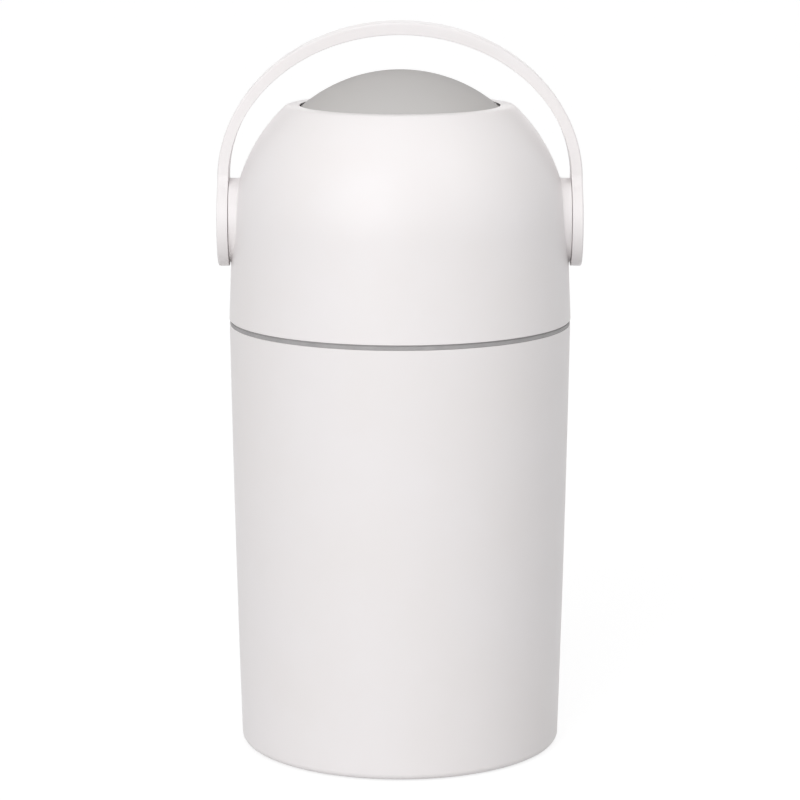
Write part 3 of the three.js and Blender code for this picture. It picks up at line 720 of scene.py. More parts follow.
def bin_profile(sizes):
    """The bin's section, from the middle of its underside round the wall to its floor."""
    edge, rim_edge, neck_edge, neck_fillet = mm(0.5, 1.2, 0.8, 2)
    outer_start, inner_start, wall_end = mm(20, 24, 10)
    floor_top = sizes.underside + sizes.floor
    bore = sizes.neck_radius - sizes.neck_wall
    top = sizes.height + sizes.neck_height
    under_shoulder = sizes.height - sizes.wall
    return [
        (0.0, sizes.underside),
        (rim_bore(sizes), sizes.underside, rim_edge),
        (rim_bore(sizes), sizes.foot_lift, edge),
        (bin_radius_at(sizes, sizes.foot_lift), sizes.foot_lift, sizes.foot_fillet),
        *wall_line(sizes, outer_start, sizes.height - wall_end, 0.0),
        (sizes.rim_radius, sizes.height, edge),
        (sizes.neck_radius, sizes.height, edge),
        (sizes.neck_radius, top, neck_edge),
        (bore, top, neck_edge),
        (bore, under_shoulder, neck_fillet),
        *reversed(wall_line(sizes, inner_start, under_shoulder - wall_end, sizes.wall)),
        (bin_radius_at(sizes, floor_top) - sizes.wall, floor_top, sizes.foot_fillet),
        (0.0, floor_top),
    ]


def bayonet_ledges(sizes):
    """The four ledges that the lid's lugs turn under, each with its stop."""
    rise, thickness, stop_drop, stop_step = mm(14, 4, 6, 2)
    edge, end_edge = mm(0.5, 0.4)
    far_angle, stop_angle, near_angle = 31, 28.5, 9
    inner = sizes.neck_radius - sizes.neck_wall / 2
    low = sizes.height + rise
    high = low + thickness
    pieces = []
    for entry in spaced(LUG_COUNT):
        ledge = (low, high, near_angle)
        stop = (low - stop_drop, high - stop_step, stop_angle)
        for foot, head, end in (ledge, stop):
            section = [
                (inner, foot), (sizes.ledge_radius, foot, edge),
                (sizes.ledge_radius, head, edge), (inner, head),
            ]
            pieces.append(sector(section, entry - far_angle, entry - end, end_edge))
    return pieces


def base_ribs(sizes):
    """Stiffening ribs under the floor and the boss round the moulding gate."""
    count, width, height, edge = 8, 2 * MM, 4 * MM, 0.35 * MM
    boss_radius, boss_depth, boss_edge = mm(12, 3, 0.5)
    top = sizes.underside + OVERLAP
    return [
        *ribs(count, sizes.pad_radius, rim_bore(sizes) + OVERLAP, top - height, top, width, edge),
        rod(boss_radius, sizes.underside - boss_depth, top, edge=boss_edge),
    ]


def foot_profile(sizes):
    """A rubber foot with a dimple and two grooves in its tread."""
    depth, tread_edge, top_edge = mm(0.5, 0.7, 0.4)
    dimple, dimple_slope, dimple_edge = mm(3, 0.3, 0.2)
    grooves, groove_width = (5.4 * MM, 7.6 * MM), 0.9 * MM
    groove_slope, groove_edge = mm(0.2, 0.1)
    corners = [
        (0.0, depth), (dimple, depth, dimple_edge), (dimple + dimple_slope, 0.0, dimple_edge)]
    for inner in grooves:
        outer = inner + groove_width
        corners += [
            (inner, 0.0, groove_edge), (inner + groove_slope, depth, groove_edge),
            (outer - groove_slope, depth, groove_edge), (outer, 0.0, groove_edge),
        ]
    corners += [
        (sizes.pad_radius, 0.0, tread_edge), (sizes.pad_radius, sizes.pad_height, top_edge),
        (0.0, sizes.pad_height),
    ]
    return corners


class NAPPYBIN_OT_bin_body(bpy.types.Operator):
    """Builds the bin with its neck, ledges and ribs"""
    bl_idname = "nappy_bin.bin_body"
    bl_label = "Bin body"

    def execute(self, context):
        sizes = context.scene.nappy_bin.bin
        gate_radius, gate_start, gate_end, gate_edge = mm(3.2, 4, 2.3, 0.3)
        item = lathed("bin_shell", bin_profile(sizes), closed=False)
        combine(item, 'UNION', bayonet_ledges(sizes) + base_ribs(sizes))
        combine(item, 'DIFFERENCE', [
            rod(gate_radius, sizes.underside - gate_start, sizes.underside - gate_end,
                SCREW_SIDES, edge=gate_edge)
        ])
        finish_piece(item, "bin", "white_shell", "bin_body")
        return {'FINISHED'}


class NAPPYBIN_OT_feet(bpy.types.Operator):
    """Builds the four rubber feet"""
    bl_idname = "nappy_bin.feet"
    bl_label = "Rubber feet"

    def execute(self, context):
        sizes = context.scene.nappy_bin.bin
        for number, angle in enumerate(spaced(FOOT_COUNT), 1):
            item = lathed(
                f"rubber_foot_{number}", foot_profile(sizes), SMALL_SIDES,
                around(angle, sizes.pad_circle), closed=False)
            finish_piece(item, "bin", "dark_rubber", f"foot_{number}")
        return {'FINISHED'}


# Bag ring and seal

class NAPPYBIN_OT_bag_ring(bpy.types.Operator):
    """Builds the ring that clamps the bag"""
    bl_idname = "nappy_bin.bag_ring"
    bl_label = "Bag ring"

    def execute(self, context):
        sizes = context.scene.nappy_bin.ring
        foot_edge, neck_edge, under_edge = mm(0.7, 0.6, 0.4)
        outer_edge, inner_edge = mm(0.9, 1.1)
        count, width, lift, edge = 12, 2.4 * MM, 2.5 * MM, 0.4 * MM
        outer = context.scene.nappy_bin.bin.neck_radius
        inner = sizes.collar_radius - sizes.wall
        flange = sizes.top - sizes.flange
        item = lathed("bag_clamp_ring", [
            (inner, sizes.foot, foot_edge),
            (sizes.collar_radius, sizes.foot, foot_edge),
            (sizes.collar_radius, flange, neck_edge),
            (outer, flange, under_edge),
            (outer, sizes.top, outer_edge),
            (inner, sizes.top, inner_edge),
        ])
        combine(item, 'UNION', ribs(
            count, sizes.collar_radius - sizes.wall / 2, sizes.rib_radius,
            sizes.foot + lift, flange + OVERLAP, width, edge))
        finish_piece(item, "bag_ring", "inner_shell", "bag_ring")
        return {'FINISHED'}


class NAPPYBIN_OT_lid_seal(bpy.types.Operator):
    """Builds the grey ring in the seam"""
    bl_idname = "nappy_bin.lid_seal"
    bl_label = "Seal ring"

    def execute(self, context):
        sizes = context.scene.nappy_bin.ring
        bore_edge, foot_edge, bead_edge, waist_edge = mm(0.3, 0.25, 0.35, 0.15)
        low, high = sizes.seal_foot, sizes.seal_foot + sizes.seal_height
        bead = high - sizes.bead_top
        waist = sizes.seal_outer - sizes.bead_depth
        item = lathed("seam_seal", [
            (sizes.seal_inner, low, bore_edge),
            (sizes.seal_outer, low, foot_edge),
            (sizes.seal_outer, bead, bead_edge),
            (waist, bead, waist_edge),
            (waist, high, waist_edge),
            (sizes.seal_inner, high, bore_edge),
        ])
        finish_piece(item, "lid_seal", "grey_seal", "lid_seal")
        return {'FINISHED'}


# Lid

# A wiper's groove: how far it starts from the opening's edge, how wide it is and how wide the
# cheek beside it is, in degrees round the ball, and how deep it is. The lip starts a little
# below the opening's edge, and a wiper is a little narrower than its groove, both in radians.
GROOVE_LEAD = 2.3
GROOVE_ANGLE = 5
GROOVE_CHEEK = 1.6
GROOVE_DEPTH = 3.35 * MM
LIP_LEAD = 0.012
WIPER_SLACK = 0.0028


class LidForm:
    """The lid's outer surface and what follows from it, heights measured from the floor."""

    def __init__(self, settings):
        self.sizes = sizes = settings.lid
        self.ball_radius = settings.ball.radius
        self.lip = self.ball_radius + sizes.ball_gap
        self.centre = sizes.pivot - sizes.dome_drop
        rise = self.centre - sizes.foot
        reach = math.hypot(sizes.skirt_radius, rise)
        self.lean = math.acos(sizes.dome_radius / reach) - math.atan2(rise, sizes.skirt_radius)
        self.rim = sizes.pivot + math.sqrt(self.lip ** 2 - sizes.opening ** 2)
        self.round_height = self.rim - sizes.rim_round - self.centre
        self.round_radius = math.sqrt(
            (sizes.dome_radius - sizes.rim_round) ** 2 - self.round_height ** 2)
        self.round_angle = math.atan2(self.round_height, self.round_radius)
        self.tube_back = self.ball_radius + TUBE_GAP
        self.boss_bore = sizes.boss_radius - sizes.boss_wall
        self.boss_inside = sizes.boss_face - sizes.boss_wall

    def offset_radius(self, height, offset):
        """Radius at a height of the surface that lies an offset outside the shell."""
        radius = self.sizes.dome_radius + offset
        rise = height - self.centre
        if rise > radius * math.sin(self.lean):
            return math.sqrt(radius ** 2 - rise ** 2)
        return (radius - rise * math.sin(self.lean)) / math.cos(self.lean)

    def slope(self, height, offset):
        """How far the surface's normal points up at a height, in radians."""
        rise = (height - self.centre) / (self.sizes.dome_radius + offset)
        return max(self.lean, math.asin(rise))

    def on_ball(self, radius, angle):
        """A profile point at an angle up from the axle."""
        return (radius * math.cos(angle), self.sizes.pivot + radius * math.sin(angle))


def groove_angles(edge_radius, lip):
    """The wiper's groove: where it starts, where it ends and where its cheek ends."""
    high = math.degrees(math.acos(edge_radius / lip)) - GROOVE_LEAD
    low = high - GROOVE_ANGLE
    return [math.radians(angle) for angle in (high, low, low - GROOVE_CHEEK)]


def lid_profile(form):
    """The lid's section: skirt, dome, rolled rim, lip with the wiper's groove, and inside."""
    sizes = form.sizes
    inner_edge, outer_edge, rim_edge, lip_edge = mm(0.5, 0.6, 0.7, 0.5)
    rim_step, lip_depth = mm(0.3, 3.6)
    high, low, end = groove_angles(sizes.opening, form.lip)
    groove = form.lip + GROOVE_DEPTH
    lip_end = form.on_ball(form.lip, end)
    inner_dome = sizes.dome_radius - sizes.wall
    inner_top = math.asin((lip_end[1] + lip_depth - form.centre) / inner_dome)
    centre = (0.0, form.centre)
    roll_centre = (form.round_radius, form.rim - sizes.rim_round)
    return [
        (sizes.skirt_radius - sizes.wall, sizes.foot, inner_edge),
        (sizes.skirt_radius, sizes.foot, outer_edge),
        *arc(centre, sizes.dome_radius, form.lean, form.round_angle),
        *arc(roll_centre, sizes.rim_round, form.round_angle, QUARTER, ROLL_STEP)[1:],
        (sizes.opening + rim_step, form.rim, rim_edge),
        form.on_ball(form.lip, math.acos(sizes.opening / form.lip) - LIP_LEAD),
        form.on_ball(form.lip, high),
        form.on_ball(groove, high),
        form.on_ball(groove, low),
        form.on_ball(form.lip, low),
        (*lip_end, lip_edge),
        *arc(centre, inner_dome, inner_top, form.lean, INSIDE_STEP),
    ]


def boss_drum(form, side):
    """A side boss whose foot flares softly into the shell."""
    sizes = form.sizes
    edge, edge_steps, flare_steps = 0.35 * MM, 4, 6
    bite, root_depth = mm(0.06, 1.2)
    fillet = sizes.boss_fillet
    height = sizes.pivot + sizes.boss_lift
    foot = math.sqrt(sizes.dome_radius ** 2 - sizes.boss_radius ** 2) - sizes.dome_drop - sizes.wall
    bm = bmesh.new()
    columns = []
    for k in range(BOSS_SIDES):
        angle = 2 * math.pi * k / BOSS_SIDES
        out = Vector((0.0, math.cos(angle), math.sin(angle)))
        middle = out * (sizes.boss_radius + fillet)
        middle.z += height
        ring = form.offset_radius(middle.z, fillet - bite)
        middle.x = math.sqrt(ring ** 2 - middle.y ** 2)
        lift = form.slope(middle.z, fillet)
        normal = Vector((
            math.cos(lift) * middle.x / ring, math.cos(lift) * middle.y / ring, math.sin(lift)))
        column = [
            Vector((sizes.boss_face - reach, 0.0, height)) + out * (sizes.boss_radius - inset)
            for reach, inset in quarter_round(edge, edge_steps)
        ]
        span = (-out).angle(-normal)
        for i in range(flare_steps + 1):
            share = i / flare_steps
            towards = out * math.sin((1 - share) * span) + normal * math.sin(share * span)
            column.append(middle - towards / math.sin(span) * fillet)
        column.append(column[-1] - normal * root_depth)
        column.append(Vector((foot, 0.0, height)) + out * sizes.boss_radius)
        columns.append([bm.verts.new((side * point.x, point.y, point.z)) for point in column])
    face_pole, foot_pole = [
        bm.verts.new((side * reach, 0.0, height)) for reach in (sizes.boss_face, foot)]
    skin(bm, [[face_pole], *zip(*columns), [foot_pole]])
    return facing_out(bm)


def bearing_tubes(form):
    """The tubes behind the bosses that hold the bushes, each on four ribs."""
    sizes = form.sizes
    rib_count, rib_step, rib_width, rib_edge = 4, 2.6 * MM, 2 * MM, 0.3 * MM
    front = form.boss_inside + OVERLAP
    foot = form.tube_back + rib_step
    width = front - foot
    parts = []
    for side in (1, -1):
        parts.append(
            rod(TUBE_RADIUS, form.tube_back, front, place=sideways(side, sizes.pivot)))
        for angle in map(math.radians, spaced(rib_count)):
            span = form.boss_bore + sizes.boss_lift * math.cos(angle) + OVERLAP
            place = upright(sizes.pivot) @ Matrix.Rotation(angle, 4, 'X') @ Matrix.Translation(
                (side * (foot + width / 2), 0.0, span / 2))
            parts.append(bar((width, rib_width, span), place, rib_edge))
    return parts


def bayonet_lugs(sizes):
    """The four lugs inside the skirt that turn under the bin's ledges."""
    bite, half_angle, edge, end_edge = 0.6 * MM, 7, 0.7 * MM, 0.4 * MM
    low = sizes.lug_top - sizes.lug_height
    reach = sizes.skirt_radius - sizes.wall / 2 - bite
    section = [
        (sizes.lug_radius, low, edge), (reach, low),
        (reach, sizes.lug_top), (sizes.lug_radius, sizes.lug_top, edge),
    ]
    return [
        sector(section, entry - half_angle, entry + half_angle, end_edge)
        for entry in spaced(LUG_COUNT)
    ]


def screw_posts(sizes, radius, low, high):
    """A rod at each of the cradle's screws, as a post or as the cutter of a hole."""
    return [
        rod(radius, low, high, SCREW_SIDES, around(angle, sizes.screw_circle))
        for angle in spaced(CRADLE_SCREWS)
    ]


class NAPPYBIN_OT_lid_housing(bpy.types.Operator):
    """Builds the domed lid with its bosses"""
    bl_idname = "nappy_bin.lid_housing"
    bl_label = "Lid"

    def execute(self, context):
        form = LidForm(context.scene.nappy_bin)
        sizes = form.sizes
        core_start, core_edge = mm(60, 1)
        post_radius, post_rise, hole_depth = mm(4, 11, 14)
        post_foot = sizes.flange_foot + sizes.flange + SEAT_GAP
        item = lathed("lid_dome", lid_profile(form))
        combine(item, 'UNION', [boss_drum(form, side) for side in (1, -1)])
        combine(item, 'DIFFERENCE', [
            rod(form.boss_bore, core_start, form.boss_inside, HUB_SIDES, place, core_edge)
            for place in both_sides(sizes.pivot + sizes.boss_lift)
        ])
        combine(item, 'UNION', bearing_tubes(form))
        combine(item, 'DIFFERENCE', [
            rod(BUSH_RADIUS + SEAT_GAP, form.tube_back - OVERLAP, sizes.boss_face + OVERLAP,
                place=place)
            for place in both_sides(sizes.pivot)
        ])
        posts = screw_posts(sizes, post_radius, post_foot, form.centre + post_rise)
        combine(item, 'UNION', bayonet_lugs(sizes) + posts)
        combine(item, 'DIFFERENCE', screw_posts(
            sizes, SCREW_HOLE, post_foot - OVERLAP, post_foot + hole_depth))
        finish_piece(item, "lid", "white_shell", "lid_housing")
        return {'FINISHED'}


class NAPPYBIN_OT_lid_cradle(bpy.types.Operator):
    """Builds the cradle under the ball"""
    bl_idname = "nappy_bin.lid_cradle"
    bl_label = "Cradle"

    def execute(self, context):
        form = LidForm(context.scene.nappy_bin)
        sizes = form.sizes
        chute_wall, edge, neck_fillet = mm(2.6, 0.8, 1.5)
        flange_edge, lip_edge = mm(0.5, 0.6)
        low, high = sizes.flange_foot, sizes.flange_foot + sizes.flange
        bowl = form.lip + sizes.cradle_wall
        first, last, cheek = groove_angles(sizes.drop_radius, form.lip)
        groove = form.lip + GROOVE_DEPTH
        thick = groove + sizes.cradle_wall
        chute_radius = sizes.drop_radius + chute_wall
        lip_foot = sizes.pivot - math.sqrt(form.lip ** 2 - sizes.drop_radius ** 2)
        chute_foot = lip_foot - sizes.chute_depth
        centre = (0.0, sizes.pivot)
        flare_start = math.radians(GROOVE_CHEEK) - cheek
        flare_end = math.asin((low - sizes.pivot) / bowl)
        bowl_top = math.asin((high - sizes.pivot) / form.lip)
        item = lathed("ball_cradle", [
            (sizes.drop_radius, chute_foot, edge),
            (chute_radius, chute_foot, edge),
            (chute_radius, lip_foot - chute_wall, neck_fillet),
            (*form.on_ball(thick, -first), edge),
            (*form.on_ball(thick, -cheek), edge),
            *arc(centre, bowl, flare_start, flare_end, BOWL_STEP),
            (sizes.flange_radius, low, flange_edge),
            (sizes.flange_radius, high, flange_edge),
            *arc(centre, form.lip, bowl_top, -last, BOWL_STEP),
            form.on_ball(groove, -last),
            form.on_ball(groove, -first),
            form.on_ball(form.lip, -first),
            (sizes.drop_radius, lip_foot, lip_edge),
        ])
        combine(item, 'DIFFERENCE', screw_posts(
            sizes, SCREW_HOLE, low - OVERLAP, high + OVERLAP))
        finish_piece(item, "lid", "inner_shell", "lid_cradle")
        return {'FINISHED'}


class NAPPYBIN_OT_wipers(bpy.types.Operator):
    """Builds the two wiper seals; their near-black rubber, set high in the gap round the ball, is
    also painted shade for that gap
    """
    bl_idname = "nappy_bin.wipers"
    bl_label = "Wipers"

    def execute(self, context):
        form = LidForm(context.scene.nappy_bin)
        depth, gap, back_edge, lip_round = mm(3, 0.9, 0.4, 0.8)
        back, near = form.lip + depth, form.ball_radius + gap
        for name, node, edge_radius, sign in (
            ("opening_wiper", "top_wiper", form.sizes.opening, 1),
            ("chute_wiper", "drop_wiper", form.sizes.drop_radius, -1),
        ):
            first, last, _ = groove_angles(edge_radius, form.lip)
            first, last = sign * (first - WIPER_SLACK), sign * (last + WIPER_SLACK)
            item = lathed(name, [
                (*form.on_ball(back, last), back_edge),
                (*form.on_ball(back, first), back_edge),
                form.on_ball(form.lip, first),
                (*form.on_ball(near, (first + last) / 2), lip_round),
                form.on_ball(form.lip, last),
            ])
            finish_piece(item, "lid", "dark_rubber", node)
        return {'FINISHED'}


# Screws and bearings

# A screw's thread: its point, pitch and root as shares of the radius, then the crest's height
# and the last turn's as shares of the pitch.
POINT_SHARE = 0.3
PITCH_SHARE = 0.8
ROOT_SHARE = 0.82
CREST_SHARE = 0.45
RUNOUT_SHARE = 0.1


def cross_recess(width, depth, top, place):
    """The cutters for a cross recess, its mouth at a height on the screw's axis."""
    slot_share, edge = 0.26, 0.12 * MM
    mouth = place @ upright(top)
    return [
        bar((width, width * slot_share, depth * 2), mouth @ Matrix.Rotation(turn, 4, 'Z'), edge)
        for turn in (0.0, QUARTER)
    ]


def add_screw(name, body, node, place, reach, radius=SCREW_RADIUS, head=SCREW_HEAD,
              height=SCREW_HEAD_HEIGHT, sides=SCREW_SIDES):
    """A pan-head screw whose head points along its axis, the head's seat at height zero."""
    root, pitch = radius * ROOT_SHARE, radius * PITCH_SHARE
    side, crown, recess_width, recess_depth = 0.35 * height, 0.8 * head, 1.1 * head, 0.6 * height
    seat_edge, side_edge, crown_edge = 0.2 * height, 0.3 * height, 0.4 * height
    corners = [(0.0, -reach), (radius * POINT_SHARE, -reach)]
    for i in range(int((reach - radius) / pitch)):
        low = -reach + pitch + i * pitch
        corners += [(root, low), (radius, low + pitch * CREST_SHARE)]
    corners += [
        (root, -pitch * RUNOUT_SHARE), (radius, 0.0), (head, 0.0, seat_edge),
        (head, side, side_edge), (crown, height, crown_edge), (0.0, height),
    ]
    item = lathed(name, corners, sides, place, closed=False)
    combine(item, 'DIFFERENCE', cross_recess(recess_width, recess_depth, height, place))
    finish_piece(item, body, "screw_steel", node)


class NAPPYBIN_OT_cradle_screws(bpy.types.Operator):
    """Builds the cradle's screws"""
    bl_idname = "nappy_bin.cradle_screws"
    bl_label = "Cradle screws"

    def execute(self, context):
        sizes = context.scene.nappy_bin.lid
        seat = sizes.flange_foot - SEAT_GAP
        upside_down = Matrix.Rotation(math.pi, 4, 'X')
        for number, angle in enumerate(spaced(CRADLE_SCREWS), 1):
            place = around(angle, sizes.screw_circle, seat) @ upside_down
            add_screw(
                f"cradle_fixing_{number}", "lid", f"cradle_screw_{number}", place,
                reach=14 * MM)
        return {'FINISHED'}


class NAPPYBIN_OT_bearings(bpy.types.Operator):
    """Builds the bushes and axles"""
    bl_idname = "nappy_bin.bearings"
    bl_label = "Bearings"

    def execute(self, context):
        settings = context.scene.nappy_bin
        bore, flange_radius, flange_height = mm(10.9, 15.7, 1.4)
        flange_fillet, bore_edge, end_edge = mm(0.2, 0.3, 0.4)
        axle_radius, axle_gap, axle_edge, head_edge = mm(10.5, 0.45, 0.5, 0.4)
        key_reach, hole_radius, hole_depth = mm(3.9, 2.3, 11)
        low = settings.ball.radius + SEAT_GAP
        shoulder = low + flange_height
        face = settings.lid.boss_face - SEAT_GAP
        hub = settings.handle.inner
        head = settings.ball.radius - AXLE_REACH
        end = hub + key_reach
        for side, word in SIDES:
            place = sideways(side, settings.lid.pivot)
            bush = lathed(f"boss_bush_{word}", [
                (bore, low, bore_edge), (flange_radius, low, end_edge),
                (flange_radius, shoulder, end_edge), (BUSH_RADIUS, shoulder, flange_fillet),
                (BUSH_RADIUS, face, end_edge), (bore, face, end_edge),
            ], SMALL_SIDES, place)
            finish_piece(bush, "lid", "bush_plastic", f"axle_bush_{word}")
            stub = as_object(f"ball_axle_{word}", rod(
                axle_radius, low, hub - axle_gap, place=place, edge=axle_edge))
            combine(stub, 'UNION', [
                rod(KEY_RADIUS, head - OVERLAP, end, HEX_SIDES, place, axle_edge),
                rod(AXLE_HEAD, head - AXLE_HEAD_HEIGHT, head, place=place, edge=head_edge),
            ])
            combine(stub, 'DIFFERENCE', [
                rod(hole_radius, end - hole_depth, end + OVERLAP, SCREW_SIDES, place)])
            finish_piece(stub, "ball", "bush_plastic", f"axle_{word}")
        return {'FINISHED'}


# Handle

def arm_outline(sizes):
    """The outline of an arm and its hub with outward normals, as (y, z, ny, nz)."""
    flare_steps, hub_steps = 14, 60
    centre_y = sizes.width / 2 + sizes.flare
    centre_z = math.sqrt((sizes.hub_radius + sizes.flare) ** 2 - centre_y ** 2)
    sweep = math.atan2(centre_z, centre_y)
    right = []
    for i in range(flare_steps + 1):
        angle = math.pi + sweep * i / flare_steps
        ny, nz = math.cos(angle), math.sin(angle)
        right.append((centre_y + sizes.flare * ny, centre_z + sizes.flare * nz, -ny, -nz))
    for i in range(1, hub_steps + 1):
        angle = sweep - (sweep + QUARTER) * i / hub_steps
        ny, nz = math.cos(angle), math.sin(angle)
        right.append((sizes.hub_radius * ny, sizes.hub_radius * nz, ny, nz))
    left = [(-y, z, -ny, nz) for y, z, ny, nz in reversed(right[:-1])]
    return right + left, centre_z


def arch_point(reach, rise, base, lift, share):
    """A point on an elliptic arch that spans both arms, a share of the way round."""
    first = math.asin(lift / rise)
    turn = first + (math.pi - 2 * first) * share
    return Vector((reach * math.cos(turn), 0.0, base + rise * math.sin(turn)))


def handle_mesh(sizes, pivot):
    """Arch, arms and hubs as one closed skin with softened edges."""
    depth, half = sizes.thickness, sizes.width / 2
    outline, shoulder = arm_outline(sizes)
    outer_reach = sizes.inner + depth
    outer_rise = sizes.rise + sizes.crown
    across = quarter_round(sizes.inner_edge)
    across += [(depth - reach, inset) for reach, inset in reversed(quarter_round(sizes.edge))]
    bm = bmesh.new()
    for side in (1, -1):
        rows = []
        for reach, inset in across:
            row = []
            for y, z, ny, nz in outline:
                lift = max(0.0, z - nz * inset - sizes.straight)
                bend = outer_reach * (1 - math.sqrt(1 - (lift / outer_rise) ** 2))
                row.append(bm.verts.new((
                    side * (sizes.inner + reach - bend), y - ny * inset, pivot + z - nz * inset)))
            rows.append(row)
        skin(bm, rows, loop=False)
        bm.faces.new(rows[0])
        bm.faces.new(rows[-1])
    section = [(reach, half - inset) for reach, inset in across]
    section += [(reach, -y) for reach, y in reversed(section)]
    base, lift = pivot + sizes.straight, shoulder - sizes.straight
    rings = []
    for i in range(ARCH_STEPS + 1):
        share = i / ARCH_STEPS
        near = arch_point(sizes.inner, sizes.rise, base, lift, share)
        far = arch_point(outer_reach, outer_rise, base, lift, share)
        ring = []
        for reach, y in section:
            point = near.lerp(far, reach / depth)
            ring.append(bm.verts.new((point.x, y, point.z)))
        rings.append(ring)
    skin(bm, rings)
    bmesh.ops.remove_doubles(bm, verts=bm.verts, dist=WELD)
    return facing_out(bm)


class NAPPYBIN_OT_handle(bpy.types.Operator):
    """Builds the arched handle with its hubs"""
    bl_idname = "nappy_bin.handle"
    bl_label = "Handle"

    def execute(self, context):
        settings = context.scene.nappy_bin
        sizes = settings.handle
        chamfer, pocket_edge = mm(0.35, 0.4)
        outer = sizes.inner + sizes.thickness
        seat = sizes.inner + HUB_SEAT
        bore = sizes.cap_radius + SEAT_GAP
        item = as_object("carrying_handle", handle_mesh(sizes, settings.lid.pivot))
        cutters = []
        for place in both_sides(settings.lid.pivot):
            cutters.append(turned(rounded([
                (0.0, seat), (bore, seat, pocket_edge), (bore, outer - chamfer),
                (bore + 2 * chamfer, outer + chamfer), (0.0, outer + chamfer),
            ], closed=False), HUB_SIDES, place))
            cutters.append(rod(KEY_BORE, sizes.inner - OVERLAP, seat + OVERLAP, HEX_SIDES, place))
        combine(item, 'DIFFERENCE', cutters)
        finish_piece(item, "ball", "white_shell", "handle")
        return {'FINISHED'}


class NAPPYBIN_OT_handle_caps(bpy.types.Operator):
    """Builds the hub screws and caps"""
    bl_idname = "nappy_bin.handle_caps"
    bl_label = "Hub caps"

    def execute(self, context):
        settings = context.scene.nappy_bin
        sizes = settings.handle
        back_edge, face_edge, land, land_edge = mm(0.3, 0.5, 1.2, 0.8)
        dish_share, dish_round = 0.55, 6 * MM
        outer = sizes.inner + sizes.thickness
        back, dish = outer - sizes.cap_height, outer - sizes.cap_dish
        for side, word in SIDES:
            place = sideways(side, settings.lid.pivot)
            cap = lathed(f"hub_cap_{word}", [
                (0.0, back),
                (sizes.cap_radius, back, back_edge),
                (sizes.cap_radius, outer, face_edge),
                (sizes.cap_radius - land, outer, land_edge),
                (sizes.cap_radius * dish_share, dish, dish_round),
                (0.0, dish),
            ], HUB_SIDES, place, closed=False)
            finish_piece(cap, "ball", "white_shell", f"handle_cap_{word}")
            add_screw(
                f"hub_fixing_{word}", "ball", f"handle_screw_{word}",
                place @ upright(sizes.inner + HUB_SEAT + SEAT_GAP),
                reach=10 * MM, radius=2 * MM, head=11 * MM, height=1.6 * MM, sides=HUB_SCREW_SIDES)
        return {'FINISHED'}


# Ball and pocket

def ball_posts(pivot):
    """Places of the four screw posts inside the ball, their axes along +Y."""
    reach, angle = 106 * MM, math.radians(55)
    x, z = reach * math.sin(angle), reach * math.cos(angle)
    return [
        Matrix.Translation((sx * x, 0.0, sz * z)) @ backwards(pivot)
        for sx in (1, -1) for sz in (1, -1)
    ]


def shell_profile(sizes, mouth, sign):
    """The section of one of the ball's shells; without a mouth it ends on the axis."""
    soft, corner_share, mouth_edge, seat_edge = 0.25 * MM, 0.3, 1.1 * MM, 0.3 * MM
    corner = corner_share * soft
    bore = sizes.radius - sizes.wall
    gap = sizes.seam / 2
    seat = math.sqrt(bore ** 2 - (sizes.mouth + sizes.cup_flange + SEAT_GAP) ** 2)
    outer_end = math.acos(mouth / sizes.radius) if mouth else QUARTER
    inner_end = math.asin(seat / bore) if mouth else QUARTER
    outer = [(sizes.radius - soft, gap), (sizes.radius - corner, gap + corner)]
    outer += arc(CENTRE, sizes.radius, math.asin((gap + soft) / sizes.radius), outer_end)
    inner = arc(CENTRE, bore, inner_end, math.asin(gap / bore))
    if mouth:
        outer[-1] = (*outer[-1], mouth_edge)
        points = rounded([*outer, (mouth, seat, seat_edge), *inner])
    else:
        points = rounded(inner + outer, closed=False)
    return [(radius, sign * height) for radius, height in points]


def ball_fittings(sizes, pivot, sign):
    """The axle bosses and screw posts in one half of the ball, cut to its round inside."""
    boss_start, post_radius, cut_edge = mm(102.5, 6, 0.01)
    bite = 1.3 * MM
    parts = [
        rod(TUBE_RADIUS, boss_start, sizes.radius, place=place) for place in both_sides(pivot)]
    low, high = sorted((0.0, sign * sizes.radius))
    parts += [rod(post_radius, low, high, SCREW_SIDES, place) for place in ball_posts(pivot)]
    inside = arc(CENTRE, sizes.radius - sizes.wall + bite, -QUARTER, QUARTER)
    reach = 2 * sizes.radius
    middle = Matrix.Translation((0.0, sign * (sizes.seam + sizes.radius) / 2, pivot))
    item = as_object("fittings", parts[0])
    combine(item, 'UNION', parts[1:])
    combine(item, 'INTERSECT', [
        turned(inside, CORE_SIDES, backwards(pivot)),
        bar((reach, sizes.radius, reach), middle, cut_edge),
    ])
    bm = bmesh.new()
    bm.from_mesh(item.data)
    discard(item)
    return bm


def ball_shell(context, name, node, mouth, sign):
    """One shell of the ball, parted on the plane through the axle."""
    settings = context.scene.nappy_bin
    sizes = settings.ball
    pivot = settings.lid.pivot
    screw_bore = 3.5 * MM
    head = sizes.radius - AXLE_REACH
    profile = shell_profile(sizes, mouth, sign)
    item = as_object(name, turned(profile, place=backwards(pivot)))
    combine(item, 'UNION', [ball_fittings(sizes, pivot, sign)])
    cutters = []
    for place in both_sides(pivot):
        cutters += [
            rod(KEY_BORE, head - OVERLAP, sizes.radius + OVERLAP, HEX_SIDES, place),
            rod(AXLE_HEAD + SEAT_GAP, head - AXLE_HEAD_HEIGHT - SEAT_GAP, head + SEAT_GAP,
                place=place),
        ]
    for place in ball_posts(pivot):
        cutters += [
            rod(SCREW_HOLE, -BALL_SCREW_SEAT, sizes.radius, SCREW_SIDES, place),
            rod(screw_bore, BALL_SCREW_SEAT, sizes.radius, SCREW_SIDES, place),
        ]
    combine(item, 'DIFFERENCE', cutters)
    finish_piece(item, "ball", "grey_ball", node)


